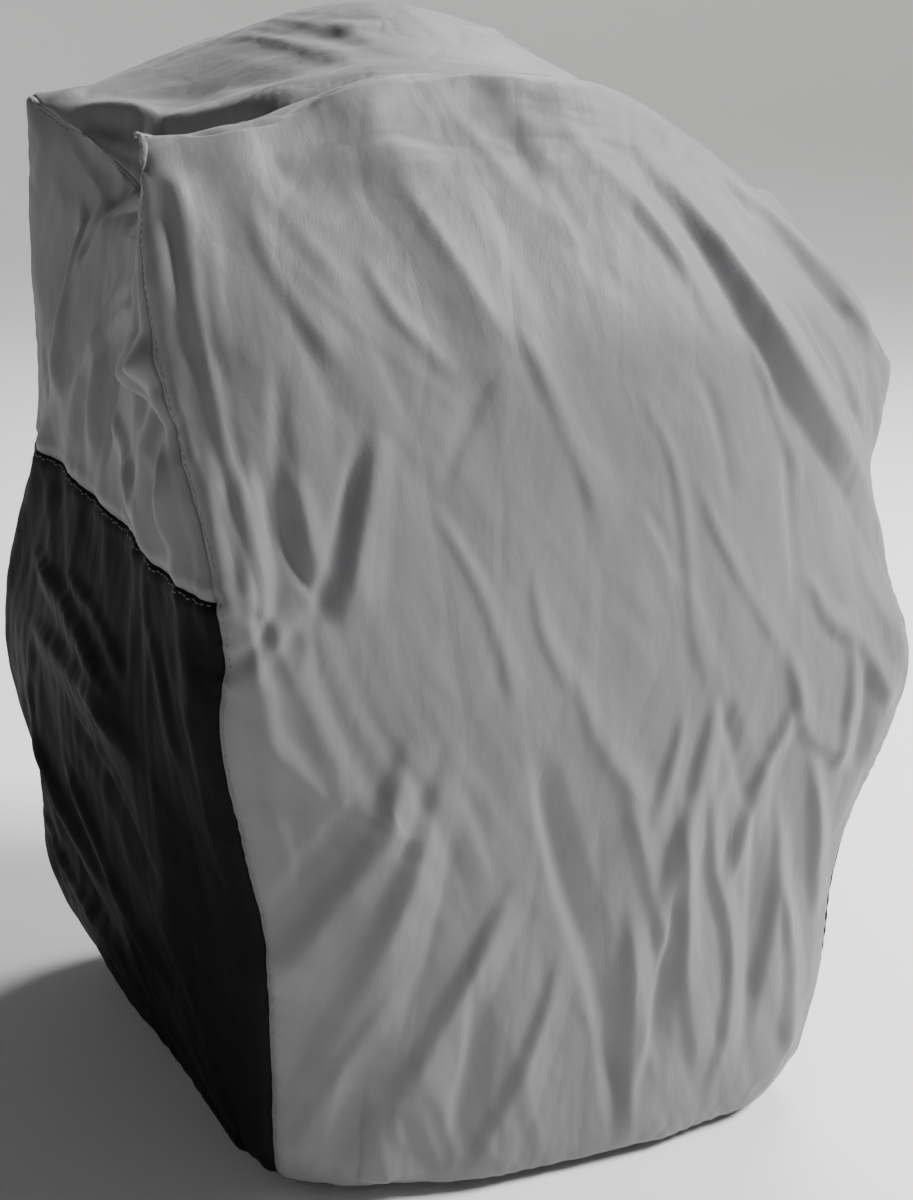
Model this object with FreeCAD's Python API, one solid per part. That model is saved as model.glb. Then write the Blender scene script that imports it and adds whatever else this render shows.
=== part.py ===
"""An upright motorcycle tail bag with its elasticated rain cover pulled over it.

Row frame, in millimetres: +Z up, -Y is the front (the pocket side), +Y is the back, which rests against
the backrest of the motorcycle. The origin is on the floor under the middle of the covered bag.
"""
import FreeCAD
import Part
import math
import os

V = FreeCAD.Vector

# ---- driving dimensions -------------------------------------------------------------------------
BODY_HALF_W = 140.0      # outer half width of the main body
BODY_FRONT = -92.0       # outer face of the front wall
BODY_BACK = 122.0        # outer face of the back wall
WALL_T = 6.0             # padded wall
CORNER_R = 14.0          # vertical corners of the body
PAD_H = 8.0              # anti-slip pads under the base
BASE_T = 4.0
WALL_TOP = 408.0         # where the zip starts
ZIP_MID = 419.65         # the line on which the lid's zip parts
ZIP_END_Y = 92.0         # the zip's two ends on the sides
ZIP_TEETH_H = 2.5
ZIP_TAPE_INSETS = (1.6, 3.0)
ZIP_TEETH_INSETS = (0.9, 3.7)
LID_BOTTOM = 431.0
LID_TOP = 452.0          # crown of the padded lid
LID_CROWN_R = 1365.0
PIPING_D = 8.0
LIFT_CLEAR = 0.3         # air between parts that turn or slide on each other

FRONT_POCKET = dict(half_w=100.0, z0=20.0, z1=250.0, depth=55.0, r=24.0, t=2.5)
POCKET_ZIP_Z = 218.0
POCKET_ZIP_T = 2.4       # how far the pocket's zip stands out from its face
POCKET_SLIDER_X = -70.0
LID_SLIDER_X = 6.5
SIDE_POCKET = dict(half_l=78.0, z0=110.0, z1=236.0, depth=26.0, r=20.0, t=2.5)
SLEEVE = dict(half_w=92.0, z0=96.0, z1=376.0, depth=20.0, t=3.0)

HANDLE_Y = 55.0
HANDLE_AXIS_Z = 459.0
HANDLE_HALF_SPAN = 62.0
HANDLE_RISE = 58.0
HANDLE_BAND = dict(w=24.0, t=3.0)
EYE_R = 4.6              # the eyes at the handle's ends, and half the width of its legs near them
NARROW_LEG = 20.0        # so far above the pins the legs stay narrow, which lets the handle fold down

STRAP_Z = 302.0
STRAP_W = 25.0
STRAP_T = 1.6

D_RING_X = 117.0
D_RING_Z = 44.0
D_RING = dict(r=13.0, wire=4.0, stand_off=5.2)

COVER_T = 1.6
HEM_RING = dict(half_w=118.0, y0=-124.0, y1=98.0, r=30.0, z=4.2)
# outer outline of the cover: height, left, right, front, back, corner radius. It hangs lower on the right.
COVER_LEVELS = [
    (2.2, -149.0, 149.0, -152.0, 136.0, 38.0),
    (60.0, -168.0, 168.0, -160.0, 150.0, 42.0),
    (150.0, -186.0, 186.0, -168.0, 164.0, 46.0),
    (230.0, -200.0, 200.0, -172.0, 172.0, 48.0),
    (330.0, -196.0, 196.0, -155.0, 162.0, 44.0),
    (400.0, -194.0, 190.0, -136.0, 148.0, 38.0),
    (484.0, -192.0, 122.0, -102.0, 128.0, 30.0),
]
COVER_CROWN = [
    (504.0, -176.0, 86.0, -92.0, 122.0, 32.0),
    (528.0, -118.0, 62.0, -44.0, 112.0, 30.0),
    (540.0, -56.0, 44.0, 8.0, 88.0, 24.0),
]
SEAM_LEVELS = (0, 3, 5)  # the corner seams are laid through the outline's corners at these levels
SEAM_Z_FRONT, SEAM_Y_FRONT = 285.0, -160.0   # the seam between a side's upper and lower panels
SEAM_Z_BACK, SEAM_Y_BACK = 335.0, 160.0
SEAM_INSET = 0.29        # a corner's seam lies this share of its radius in from both faces
HEM_TUBE_R = 3.4
ELASTIC_R = 2.2


# ---- helpers ------------------------------------------------------------------------------------
def box(x0, x1, y0, y1, z0, z1):
    return Part.makeBox(x1 - x0, y1 - y0, z1 - z0, V(x0, y0, z0))


def rounded_outline(x0, x1, y0, y1, r, z=0.0):
    """A closed wire: a rectangle with round corners, in the plane at height z."""
    s = r * math.sqrt(0.5)
    edges = []
    corners = [(x1 - r, y0 + r, -1), (x1 - r, y1 - r, 0), (x0 + r, y1 - r, 1), (x0 + r, y0 + r, 2)]
    starts, ends = [], []
    for cx, cy, quarter in corners:
        a = quarter * math.pi / 2
        first = V(cx + r * math.cos(a), cy + r * math.sin(a), z)
        last = V(cx + r * math.cos(a + math.pi / 2), cy + r * math.sin(a + math.pi / 2), z)
        half = V(cx + s * (math.cos(a) - math.sin(a)), cy + s * (math.sin(a) + math.cos(a)), z)
        starts.append(first)
        ends.append(last)
        edges.append(Part.Arc(first, half, last).toShape())
    for i in range(4):
        edges.append(Part.LineSegment(ends[i], starts[(i + 1) % 4]).toShape())
    ordered = []
    for i in range(4):
        ordered += [edges[i], edges[4 + i]]
    return Part.Wire(ordered)


def rounded_prism(x0, x1, y0, y1, r, z0, z1):
    return Part.Face(rounded_outline(x0, x1, y0, y1, r, z0)).extrude(V(0, 0, z1 - z0))


def upright(shape):
    """Turns a prism made along +Z so that it runs along -Y, with its old +Y up."""
    turned = shape.copy()
    turned.rotate(V(0, 0, 0), V(1, 0, 0), 90)
    return turned


def body_ring(inset_out, inset_in, z0, z1):
    """A band that follows the body's outline, between two insets from its outer face."""
    def prism(inset, low, high):
        return rounded_prism(
            -BODY_HALF_W + inset, BODY_HALF_W - inset, BODY_FRONT + inset, BODY_BACK - inset,
            CORNER_R - inset, low, high)
    return prism(inset_out, z0, z1).cut(prism(inset_in, z0 - 1, z1 + 1))


def zip_run(inset_out, inset_in, z0, z1):
    """A band round the front and sides only: the back run is the lid's hinge and has no zip."""
    return body_ring(inset_out, inset_in, z0, z1).cut(box(-200, 200, ZIP_END_Y, 200, z0 - 1, z1 + 1))


def tube_ring(half_w, y0, y1, r, z, radius):
    """A round cord laid in a closed rounded rectangle."""
    path = rounded_outline(-half_w, half_w, y0, y1, r, z)
    start = V(0, y0, z)
    # the circle stands on the straight run along X at the front
    section = Part.Wire(Part.Circle(start, V(1, 0, 0), radius).toShape())
    return path.makePipeShell([section], True, False)


def rod(start, direction, length, radius):
    return Part.makeCylinder(radius, length, V(*start), V(*direction))


def save(name, shape):
    if shape.ShapeType == "Compound" and len(shape.Solids) == 1:
        shape = shape.Solids[0]
    solids = shape.Solids
    assert solids, name
    for solid in solids:
        assert solid.isValid() and solid.Volume > 0, name
    shape.exportStep(os.path.join("parts", name + ".step"))


def group(shapes):
    return Part.makeCompound([s for shape in shapes for s in shape.Solids])


# ---- the bag's body -----------------------------------------------------------------------------
def corner_posts():
    """Round piping in the four vertical corner seams."""
    mid = CORNER_R - WALL_T / 2
    reach = mid * math.sqrt(0.5)
    posts = []
    for sx in (-1, 1):
        for y, sy in ((BODY_FRONT, -1), (BODY_BACK, 1)):
            x = sx * (BODY_HALF_W - CORNER_R + reach)
            y = y - sy * (CORNER_R - reach)
            posts.append(rod((x, y, PAD_H + BASE_T), (0, 0, 1), WALL_TOP - PAD_H - BASE_T, PIPING_D / 2))
    return posts


def make_walls():
    posts = corner_posts()
    ring = body_ring(0, WALL_T, PAD_H + BASE_T, WALL_TOP)
    for post in posts:
        ring = ring.cut(post)
    middle_y = (BODY_FRONT + BODY_BACK) / 2
    for solid in ring.Solids:
        c = solid.CenterOfMass
        if abs(c.x) > 100:
            name = "left_wall" if c.x < 0 else "right_wall"
        else:
            name = "front_wall" if c.y < middle_y else "back_wall"
        save(name, solid)
    save("corner_piping", group(posts))


def make_base():
    panel = rounded_prism(-BODY_HALF_W, BODY_HALF_W, BODY_FRONT, BODY_BACK, CORNER_R, PAD_H, PAD_H + BASE_T)
    save("base_panel", panel)
    inset = WALL_T + 1.5
    low = PAD_H + BASE_T
    save("base_board", rounded_prism(-BODY_HALF_W + inset, BODY_HALF_W - inset, BODY_FRONT + inset,
                                     BODY_BACK - inset, 7.0, low, low + 2.5))
    pads = [rounded_prism(-92, 92, y, y + 36, 6.0, 0, PAD_H) for y in (-62.0, 52.0)]
    save("base_grip_pads", group(pads))
    back = BODY_BACK - WALL_T
    save("back_board", box(-126, 126, back - 3.0, back, low + 4, WALL_TOP - 12))


def make_lid_zip():
    low, high = ZIP_MID - LIFT_CLEAR / 2, ZIP_MID + LIFT_CLEAR / 2
    save("zip_lower_tape", zip_run(*ZIP_TAPE_INSETS, WALL_TOP, low - ZIP_TEETH_H))
    save("zip_lower_teeth", zip_run(*ZIP_TEETH_INSETS, low - ZIP_TEETH_H, low))
    save("zip_upper_teeth", zip_run(*ZIP_TEETH_INSETS, high, high + ZIP_TEETH_H))
    save("zip_upper_tape", zip_run(*ZIP_TAPE_INSETS, high + ZIP_TEETH_H, LID_BOTTOM))


def make_hinge():
    """Rolled fabric binding on the hinge line, with the flap that joins it to the back wall."""
    y = BODY_BACK - WALL_T / 2
    roll = rod((-118, y, ZIP_MID), (1, 0, 0), 236, 3.0)
    flap = box(-118, 118, y - 0.8, y + 0.8, WALL_TOP, ZIP_MID - 2)
    save("lid_hinge_binding", roll.fuse(flap).removeSplitter())


# ---- the lid ------------------------------------------------------------------------------------
def make_lid():
    prism = rounded_prism(-BODY_HALF_W - 1, BODY_HALF_W + 1, BODY_FRONT - 1, BODY_BACK, CORNER_R,
                          LID_BOTTOM, LID_TOP + 5)
    crown = Part.makeSphere(LID_CROWN_R, V(0, 15, LID_TOP - LID_CROWN_R))
    panel = prism.common(crown)
    y = BODY_BACK - WALL_T / 2
    neck = box(-112, 112, y - 0.8, y + 0.8, ZIP_MID + 3.6, LID_BOTTOM + 1)
    save("lid_panel", panel.fuse(neck).removeSplitter())
    save("lid_board", rounded_prism(-128, 128, BODY_FRONT + 16, BODY_BACK - 16, 10, LID_BOTTOM - 2.5, LID_BOTTOM))
    save("lid_mesh_pocket", rounded_prism(-108, 108, BODY_FRONT + 30, BODY_BACK - 34, 8,
                                          LID_BOTTOM - 3.9, LID_BOTTOM - 2.5))


def make_handle():
    """A moulded carry handle that swings on two pins held by stitched-down anchors."""
    half, rise, t, w = HANDLE_HALF_SPAN, HANDLE_RISE, HANDLE_BAND["t"], HANDLE_BAND["w"]
    z0 = HANDLE_AXIS_Z
    outer = upright(rounded_prism(-half, half, z0 - 30, z0 + rise, 18, 0, w))
    inner = upright(rounded_prism(-half + t, half - t, z0 - 40, z0 + rise - t, 15, -1, w + 1))
    band = outer.cut(inner)
    band.translate(V(0, HANDLE_Y + w / 2, 0))
    band = band.cut(box(-half - 1, half + 1, HANDLE_Y - w, HANDLE_Y + w, z0 - 60, z0 + 3.0))
    for y0, y1 in ((-w, -EYE_R), (EYE_R, w)):
        band = band.cut(box(-half - 1, half + 1, HANDLE_Y + y0, HANDLE_Y + y1, z0 - 1, z0 + NARROW_LEG))
    eyes, anchors = [], []
    for s in (-1, 1):
        x = s * (half - t / 2)
        eye = rod((x - 2.5, HANDLE_Y, z0), (1, 0, 0), 5.0, EYE_R)
        rib = box(x - t / 2, x + t / 2, HANDLE_Y - EYE_R, HANDLE_Y + EYE_R, z0, z0 + 6)
        eyes.append(eye.fuse(rib))
        pin = rod((x - 7.5, HANDLE_Y, z0), (1, 0, 0), 15.0, 2.2)
        plate_low = LID_TOP - 1.6
        plate = box(x - 14, x + 14, HANDLE_Y - 17, HANDLE_Y + 17, plate_low, plate_low + 3.0)
        lid_skin = Part.makeSphere(LID_CROWN_R, V(0, 15, LID_TOP - LID_CROWN_R))
        lugs = [box(x + a, x + a + 3.0, HANDLE_Y - 3.2, HANDLE_Y + 3.2, plate_low, z0 + 3.2) for a in (-7.0, 4.0)]
        anchor = plate.fuse(lugs[0]).fuse(lugs[1]).fuse(pin).cut(lid_skin)
        eye_room = rod((x - 3.2, HANDLE_Y, z0), (1, 0, 0), 6.4, EYE_R + 0.8).cut(pin)
        anchors.append(anchor.cut(eye_room))
    holes = [rod((s * (half - t / 2) - 8, HANDLE_Y, z0), (1, 0, 0), 16, 2.25) for s in (-1, 1)]
    for part in eyes:
        band = band.fuse(part)
    for hole in holes:
        band = band.cut(hole)
    top = z0 + rise - t / 2
    sleeve = upright(rounded_prism(-36, 36, top - 6.5, top + 6.5, 6, 0, w + 6))
    sleeve.translate(V(0, HANDLE_Y + (w + 6) / 2, 0))
    slot = box(-40, 40, HANDLE_Y - w / 2, HANDLE_Y + w / 2, top - t / 2, top + t / 2)
    save("handle_band", band.removeSplitter())
    save("handle_grip", sleeve.cut(slot))
    save("handle_anchors", group(anchors))


# ---- zips ---------------------------------------------------------------------------------------
def zip_slider(x, face_y, z):
    """A slider whose plate stands clear of teeth that end at face_y, with ears and a pin for the pull."""
    front = face_y - LIFT_CLEAR
    plate = upright(rounded_prism(x - 4.5, x + 4.5, z - 7, z + 7, 3, 0, 2.0))
    plate.translate(V(0, front, 0))
    axis_y, axis_z = front - 4.0, z + 1.0
    ears = [box(x + a, x + a + 1.2, axis_y - 1.4, front - 1.9, axis_z - 1.4, axis_z + 1.4) for a in (-3.4, 2.2)]
    pin = rod((x - 3.4, axis_y, axis_z), (1, 0, 0), 6.8, 0.8)
    return plate.fuse(ears[0]).fuse(ears[1]).fuse(pin).removeSplitter()


def zip_pull(x, face_y, z, length=19.0):
    """The pull that hangs from the slider's pin."""
    axis_y, axis_z = face_y - LIFT_CLEAR - 4.0, z + 1.0
    knuckle = rod((x - 1.9, axis_y, axis_z), (1, 0, 0), 3.8, 1.7)
    tab = upright(rounded_prism(x - 3.0, x + 3.0, axis_z - length, axis_z - 2.6, 1.5, 0, 1.4))
    tab.translate(V(0, axis_y + 0.7, 0))
    neck = box(x - 1.6, x + 1.6, axis_y - 0.7, axis_y + 0.7, axis_z - 3.4, axis_z)
    pull = knuckle.fuse(tab).fuse(neck)
    return pull.cut(rod((x - 3, axis_y, axis_z), (1, 0, 0), 6, 0.85)).removeSplitter()


def make_sliders():
    teeth_face = BODY_FRONT + ZIP_TEETH_INSETS[0]
    for name, x in (("left", -LID_SLIDER_X), ("right", LID_SLIDER_X)):
        save(f"zip_slider_{name}", zip_slider(x, teeth_face, ZIP_MID))
        save(f"zip_pull_{name}", zip_pull(x, teeth_face, ZIP_MID))
    face = front_pocket_face_y() - POCKET_ZIP_T
    save("pocket_zip_slider", zip_slider(POCKET_SLIDER_X, face, POCKET_ZIP_Z))
    save("pocket_zip_pull", zip_pull(POCKET_SLIDER_X, face, POCKET_ZIP_Z))


# ---- pockets, sleeve ----------------------------------------------------------------------------
def front_pocket_face_y():
    return BODY_FRONT - FRONT_POCKET["depth"] - 3.0


def make_front_pocket():
    p = FRONT_POCKET
    outer = upright(rounded_prism(-p["half_w"], p["half_w"], p["z0"], p["z1"], p["r"], 0, p["depth"]))
    inner = upright(rounded_prism(-p["half_w"] + p["t"], p["half_w"] - p["t"], p["z0"] + p["t"],
                                  p["z1"] - p["t"], p["r"] - p["t"], -1, p["depth"] + 1))
    gusset = outer.cut(inner)
    gusset.translate(V(0, BODY_FRONT, 0))
    save("front_pocket_gusset", gusset)
    face = upright(rounded_prism(-p["half_w"], p["half_w"], p["z0"], p["z1"], p["r"], 0, 3.0))
    face.translate(V(0, BODY_FRONT - p["depth"], 0))
    save("front_pocket_face", face)
    front = front_pocket_face_y()
    z = POCKET_ZIP_Z
    tape = box(-84, 84, front - 0.8, front, z - 8, z + 8)
    teeth = box(-82, 82, front - POCKET_ZIP_T, front - 0.8, z - 2, z + 2)
    save("front_pocket_zip", tape.fuse(teeth).removeSplitter())


def side_slab(half_l, z0, z1, r, x0, x1):
    """A plate on a side of the body, with round corners in the side's own plane."""
    middle_y = (BODY_FRONT + BODY_BACK) / 2
    slab = rounded_prism(middle_y - half_l, middle_y + half_l, z0, z1, r, 0, x1 - x0)
    # (x, y, z) of the flat prism becomes (z, x, y)
    slab.rotate(V(0, 0, 0), V(1, 1, 1), 120)
    slab.translate(V(x0, 0, 0))
    return slab


def make_side_pockets():
    """Flat pouches on both sides, open at the top."""
    p = SIDE_POCKET
    high = p["z1"] + 60
    above = box(-300, 300, -300, 300, p["z1"], high + 1)
    near, far = BODY_HALF_W, BODY_HALF_W + p["depth"]
    for s, name in ((-1, "left"), (1, "right")):
        x0, x1 = sorted((s * near, s * far))
        f0, f1 = sorted((s * far, s * (far + 2)))
        outer = side_slab(p["half_l"], p["z0"], high, p["r"], x0, x1)
        inner = side_slab(p["half_l"] - p["t"], p["z0"] + p["t"], high, p["r"] - p["t"], x0 - 1, x1 + 1)
        save(f"{name}_pocket_gusset", outer.cut(inner).cut(above))
        save(f"{name}_pocket_face", side_slab(p["half_l"], p["z0"], high, p["r"], f0, f1).cut(above))


def make_sleeve():
    """The pouch on the back that slips down over the backrest: open at its lower edge."""
    s = SLEEVE
    y0, y1 = BODY_BACK, BODY_BACK + s["depth"]
    save("sleeve_panel", box(-s["half_w"], s["half_w"], y1, y1 + s["t"], s["z0"], s["z1"]))
    block = box(-s["half_w"], s["half_w"], y0, y1, s["z0"], s["z1"])
    hollow = box(-s["half_w"] + s["t"], s["half_w"] - s["t"], y0, y1, s["z0"], s["z1"] - s["t"])
    save("sleeve_gusset", block.cut(hollow))


# ---- hardware -----------------------------------------------------------------------------------
def d_ring(x, y, z):
    """A welded ring: a straight bar along X with a half-round bow hanging from it."""
    r, wire = D_RING["r"], D_RING["wire"] / 2
    ring = Part.makeTorus(r, wire, V(x, y, z), V(0, 1, 0)).cut(box(x - 40, x + 40, y - 9, y + 9, z, z + 40))
    ring = ring.fuse(rod((x - r, y, z), (1, 0, 0), 2 * r, wire))
    for end in (-r, r):
        ring = ring.fuse(Part.makeSphere(wire, V(x + end, y, z)))
    return ring.removeSplitter()


def d_ring_loop(x, y, z, face, facing):
    """A folded tab of webbing sewn to the wall, with the ring's bar in its fold."""
    hole = D_RING["wire"] / 2 + LIFT_CLEAR
    eye = rod((x - 9, y, z), (1, 0, 0), 18, hole + 1.6)
    y0, y1 = sorted((face, face + facing * 2.4))
    loop = eye.fuse(box(x - 9, x + 9, y0, y1, z, z + 34)).cut(rod((x - 10, y, z), (1, 0, 0), 20, hole))
    y0, y1 = sorted((face, face - facing * 20))
    return loop.cut(box(x - 20, x + 20, y0, y1, z - 20, z + 60)).removeSplitter()


def make_d_rings():
    loops = []
    for face, facing, end in ((BODY_FRONT, -1, "front"), (BODY_BACK, 1, "rear")):
        y = face + facing * D_RING["stand_off"]
        for s, side in ((-1, "left"), (1, "right")):
            save(f"d_ring_{end}_{side}", d_ring(s * D_RING_X, y, D_RING_Z))
            loops.append(d_ring_loop(s * D_RING_X, y, D_RING_Z, face, facing))
    save("d_ring_loops", group(loops))


def beside(s, out0, out1, y0, y1, z0, z1):
    """A box beside the body on side s, between two distances out from its side wall."""
    x0, x1 = sorted((s * (BODY_HALF_W + out0), s * (BODY_HALF_W + out1)))
    return box(x0, x1, y0, y1, STRAP_Z + z0, STRAP_Z + z1)


def buckle_socket(s):
    shell = beside(s, 0.4, 11.4, -22, 6, -17, 17)
    cave = beside(s, 2.4, 9.4, -23, 3, -14, 14)
    windows = beside(s, 2.4, 9.4, -14, -2, -18, 18)
    return shell.cut(cave).cut(windows)


def buckle_plug(s):
    """The plug, with its middle guide and its two spring prongs, which are drawn pressed in."""
    collar = beside(s, 1.9, 10.9, -46, -22.4, -16, 16)
    plug = collar.cut(beside(s, 1.0, 12.0, -41, -37, -STRAP_W / 2 - 0.5, STRAP_W / 2 + 0.5))
    plug = plug.fuse(beside(s, 3.4, 8.4, -23, 1.5, -2.5, 2.5))
    for low, high in ((8.3, 12.7), (-12.7, -8.3)):
        plug = plug.fuse(beside(s, 3.4, 8.4, -23, -1, low, high))
    for low, high in ((10.5, 13.6), (-13.6, -10.5)):
        plug = plug.fuse(beside(s, 3.4, 8.4, -12.5, -3, low, high))
    return plug.removeSplitter()


def make_compression_straps():
    """Side straps with side-release buckles. The plug draws out of its socket towards the front."""
    half = STRAP_W / 2
    for s, name in ((-1, "left"), (1, "right")):
        save(f"{name}_strap_rear", beside(s, 0, STRAP_T, 6, BODY_BACK - CORNER_R, -half, half))
        save(f"{name}_strap_front", beside(s, 0, STRAP_T, BODY_FRONT + CORNER_R, -46, -half, half))
        save(f"{name}_buckle_socket", buckle_socket(s))
        save(f"{name}_buckle_plug", buckle_plug(s))


# ---- the rain cover -----------------------------------------------------------------------------
def cover_skin(inset):
    """The cover's solid outline, drawn in by inset on every side but the open bottom."""
    wires = []
    for z, left, right, front, back, r in COVER_LEVELS + COVER_CROWN:
        top = z if z < COVER_CROWN[0][0] else z - inset
        wires.append(rounded_outline(left + inset, right - inset, front + inset, back - inset,
                                     r - inset, top))
    return Part.makeLoft(wires, True, True)


def corner_seam_block(sx, sy):
    """The half space beyond the plane that holds a corner's seam, on the side panel's side of it."""
    points = []
    for level in SEAM_LEVELS:
        z, left, right, front, back, r = COVER_LEVELS[level]
        x = left if sx < 0 else right
        y = front if sy < 0 else back
        points.append(V(x - sx * SEAM_INSET * r, y - sy * SEAM_INSET * r, z))
    along = (points[2] - points[0]).normalize()
    normal = along.cross(points[1] - points[0]).normalize()
    if normal.x * sx < 0:
        normal = -normal
    across = normal.cross(along)
    reach = 900.0
    corners = [points[0] + along * (a * reach) + across * (b * reach)
               for a, b in ((-1, -1), (1, -1), (1, 1), (-1, 1))]
    return Part.Face(Part.makePolygon(corners + [corners[0]])).extrude(normal * reach)


def lower_seam_block(s):
    """Everything below the sloping seam between a side's lower and upper panels."""
    run = 400.0
    slope = (SEAM_Z_BACK - SEAM_Z_FRONT) / (SEAM_Y_BACK - SEAM_Y_FRONT)
    at_front = SEAM_Z_FRONT + slope * (-run - SEAM_Y_FRONT)
    at_back = SEAM_Z_FRONT + slope * (run - SEAM_Y_FRONT)
    points = [V(0, -run, -10), V(0, run, -10), V(0, run, at_back), V(0, -run, at_front)]
    return Part.Face(Part.makePolygon(points + [points[0]])).extrude(V(s * run, 0, 0))


def make_cover_hem():
    """The turned-under edge, with the casing that the elastic runs in."""
    z, left, right, front, back, r = COVER_LEVELS[0]
    ring = HEM_RING
    path = (ring["half_w"], ring["y0"], ring["y1"], ring["r"], ring["z"])
    turned = rounded_prism(left, right, front, back, r, z - COVER_T, z)
    hole = rounded_prism(-ring["half_w"], ring["half_w"], ring["y0"], ring["y1"], ring["r"], -1, 9)
    casing = turned.cut(hole).fuse(tube_ring(*path, HEM_TUBE_R))
    save("cover_hem_casing", casing.cut(tube_ring(*path, ELASTIC_R + 0.1)))
    save("cover_hem_elastic", tube_ring(*path, ELASTIC_R))


def make_cover():
    """The cover's sewn panels. They meet edge to edge at their seams."""
    shell = cover_skin(0).cut(cover_skin(COVER_T))
    split = COVER_LEVELS[-1][0]
    above = box(-300, 300, -300, 300, split, 600)
    save("cover_top_panel", shell.common(above))
    middle = shell.cut(above)
    for s, name in ((-1, "left"), (1, "right")):
        side_room = corner_seam_block(s, -1).common(corner_seam_block(s, 1))
        side = middle.common(side_room)
        middle = middle.cut(side_room)
        save(f"cover_{name}_lower_panel", side.common(lower_seam_block(s)))
        save(f"cover_{name}_upper_panel", side.cut(lower_seam_block(s)))
    behind = box(-300, 300, 0, 300, -10, 600)
    save("cover_rear_panel", middle.common(behind))
    save("cover_front_panel", middle.cut(behind))
    make_cover_hem()


def main():
    os.makedirs("parts", exist_ok=True)
    for make in (make_walls, make_base, make_lid_zip, make_hinge, make_lid, make_handle, make_sliders,
                 make_front_pocket, make_side_pockets, make_sleeve, make_d_rings,
                 make_compression_straps, make_cover):
        make()


main()
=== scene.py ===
"""The looks of an upright motorcycle tail bag that stands in its elasticated rain cover.

The cover is one skin: outlines at a few levels are joined into a grid, a cloth simulation lets the grid
find its own wrinkles, and the larger folds are then pressed into it. Seams split it into the sewn panels.
"""
import bpy
import math
import numpy as np
from mathutils import Matrix, Vector, bvhtree, geometry, kdtree


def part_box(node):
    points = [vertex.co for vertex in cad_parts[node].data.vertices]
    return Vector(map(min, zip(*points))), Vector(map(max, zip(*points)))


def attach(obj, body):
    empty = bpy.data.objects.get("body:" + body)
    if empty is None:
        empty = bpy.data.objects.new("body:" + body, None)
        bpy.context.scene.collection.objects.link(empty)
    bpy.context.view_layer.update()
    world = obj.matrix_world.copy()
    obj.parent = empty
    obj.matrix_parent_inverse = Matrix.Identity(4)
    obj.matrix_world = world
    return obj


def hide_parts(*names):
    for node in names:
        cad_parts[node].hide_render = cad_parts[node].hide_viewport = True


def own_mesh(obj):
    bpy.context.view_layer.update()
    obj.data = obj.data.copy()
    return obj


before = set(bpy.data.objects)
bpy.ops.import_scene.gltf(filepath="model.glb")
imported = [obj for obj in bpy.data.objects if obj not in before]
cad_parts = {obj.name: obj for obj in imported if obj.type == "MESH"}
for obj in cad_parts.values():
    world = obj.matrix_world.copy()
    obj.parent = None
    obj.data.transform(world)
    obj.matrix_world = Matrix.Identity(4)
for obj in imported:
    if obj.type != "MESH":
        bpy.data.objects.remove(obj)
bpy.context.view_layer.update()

# ---- the cover's outlines -----------------------------------------------------------------------
# Each level has its four corners (front left, front right, back right, back left), the points that its
# edges pass through, and how softly each corner is rounded. Metres, in the row frame, from the rim down.
RIM = dict(
    corners=[(-.195, -.104, .485), (.212, -.084, .367), (.206, .112, .415), (-.179, .114, .488)],
    front=[(-.145, -.099, .490), (-.100, -.094, .504), (-.060, -.090, .512), (-.010, -.090, .513),
           (.050, -.090, .503), (.108, -.100, .464), (.165, -.100, .422)],
    right=[(.208, .015, .396)],
    back=[(.130, .130, .472), (.050, .130, .511), (-.020, .128, .527), (-.060, .128, .527),
          (-.100, .130, .516), (-.140, .125, .500)],
    left=[(-.164, .066, .470), (-.152, .010, .455), (-.158, -.050, .460), (-.176, -.086, .473)],
    soft=(.008, .012, .020, .008))
SHELF = dict(
    corners=[(-.197, -.114, .428), (.205, -.092, .347), (.203, .128, .385), (-.176, .132, .428)],
    front=[(-.165, -.136, .422), (-.110, -.147, .419), (-.020, -.150, .415), (.055, -.148, .410),
           (.113, -.140, .393), (.165, -.118, .368)],
    right=[(.202, .020, .364)],
    back=[(.100, .150, .410), (-.050, .154, .425)],
    left=[(-.180, .070, .425), (-.172, .000, .420), (-.182, -.070, .424)],
    soft=(.010, .018, .030, .016))
FOLD = dict(
    corners=[(-.195, -.132, .383), (.199, -.098, .331), (.199, .138, .350), (-.173, .138, .376)],
    front=[(-.150, -.156, .380), (-.070, -.160, .378), (.010, -.160, .374), (.085, -.154, .363),
           (.150, -.136, .346)],
    right=[(.198, .020, .340)],
    back=[(.000, .162, .370)],
    left=[(-.184, .060, .378), (-.182, -.030, .378)],
    soft=(.012, .020, .032, .018))
SEAM = dict(
    corners=[(-.182, -.165, .302), (.189, -.104, .309), (.192, .148, .296), (-.171, .147, .310)],
    front=[(-.100, -.172, .300), (.000, -.173, .298), (.090, -.164, .298), (.150, -.140, .304)],
    right=[(.192, .020, .300)],
    back=[(.000, .172, .300)],
    left=[(-.184, .070, .312), (-.188, -.030, .308)],
    soft=(.018, .022, .036, .022))
BULGE = dict(
    corners=[(-.179, -.160, .243), (.195, -.143, .243), (.190, .155, .232), (-.188, .160, .222)],
    front=[(-.090, -.178, .242), (.000, -.180, .240), (.100, -.172, .240)],
    right=[(.203, .010, .238)],
    back=[(.000, .177, .232)],
    left=[(-.197, .000, .235)],
    soft=(.024, .028, .040, .030))
SKIRT = dict(
    corners=[(-.150, -.143, .120), (.160, -.147, .122), (.162, .146, .120), (-.172, .158, .118)],
    front=[(.000, -.167, .120)],
    right=[(.178, .000, .120)],
    back=[(.000, .162, .120)],
    left=[(-.176, .000, .120)],
    soft=(.030, .034, .044, .034))
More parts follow.
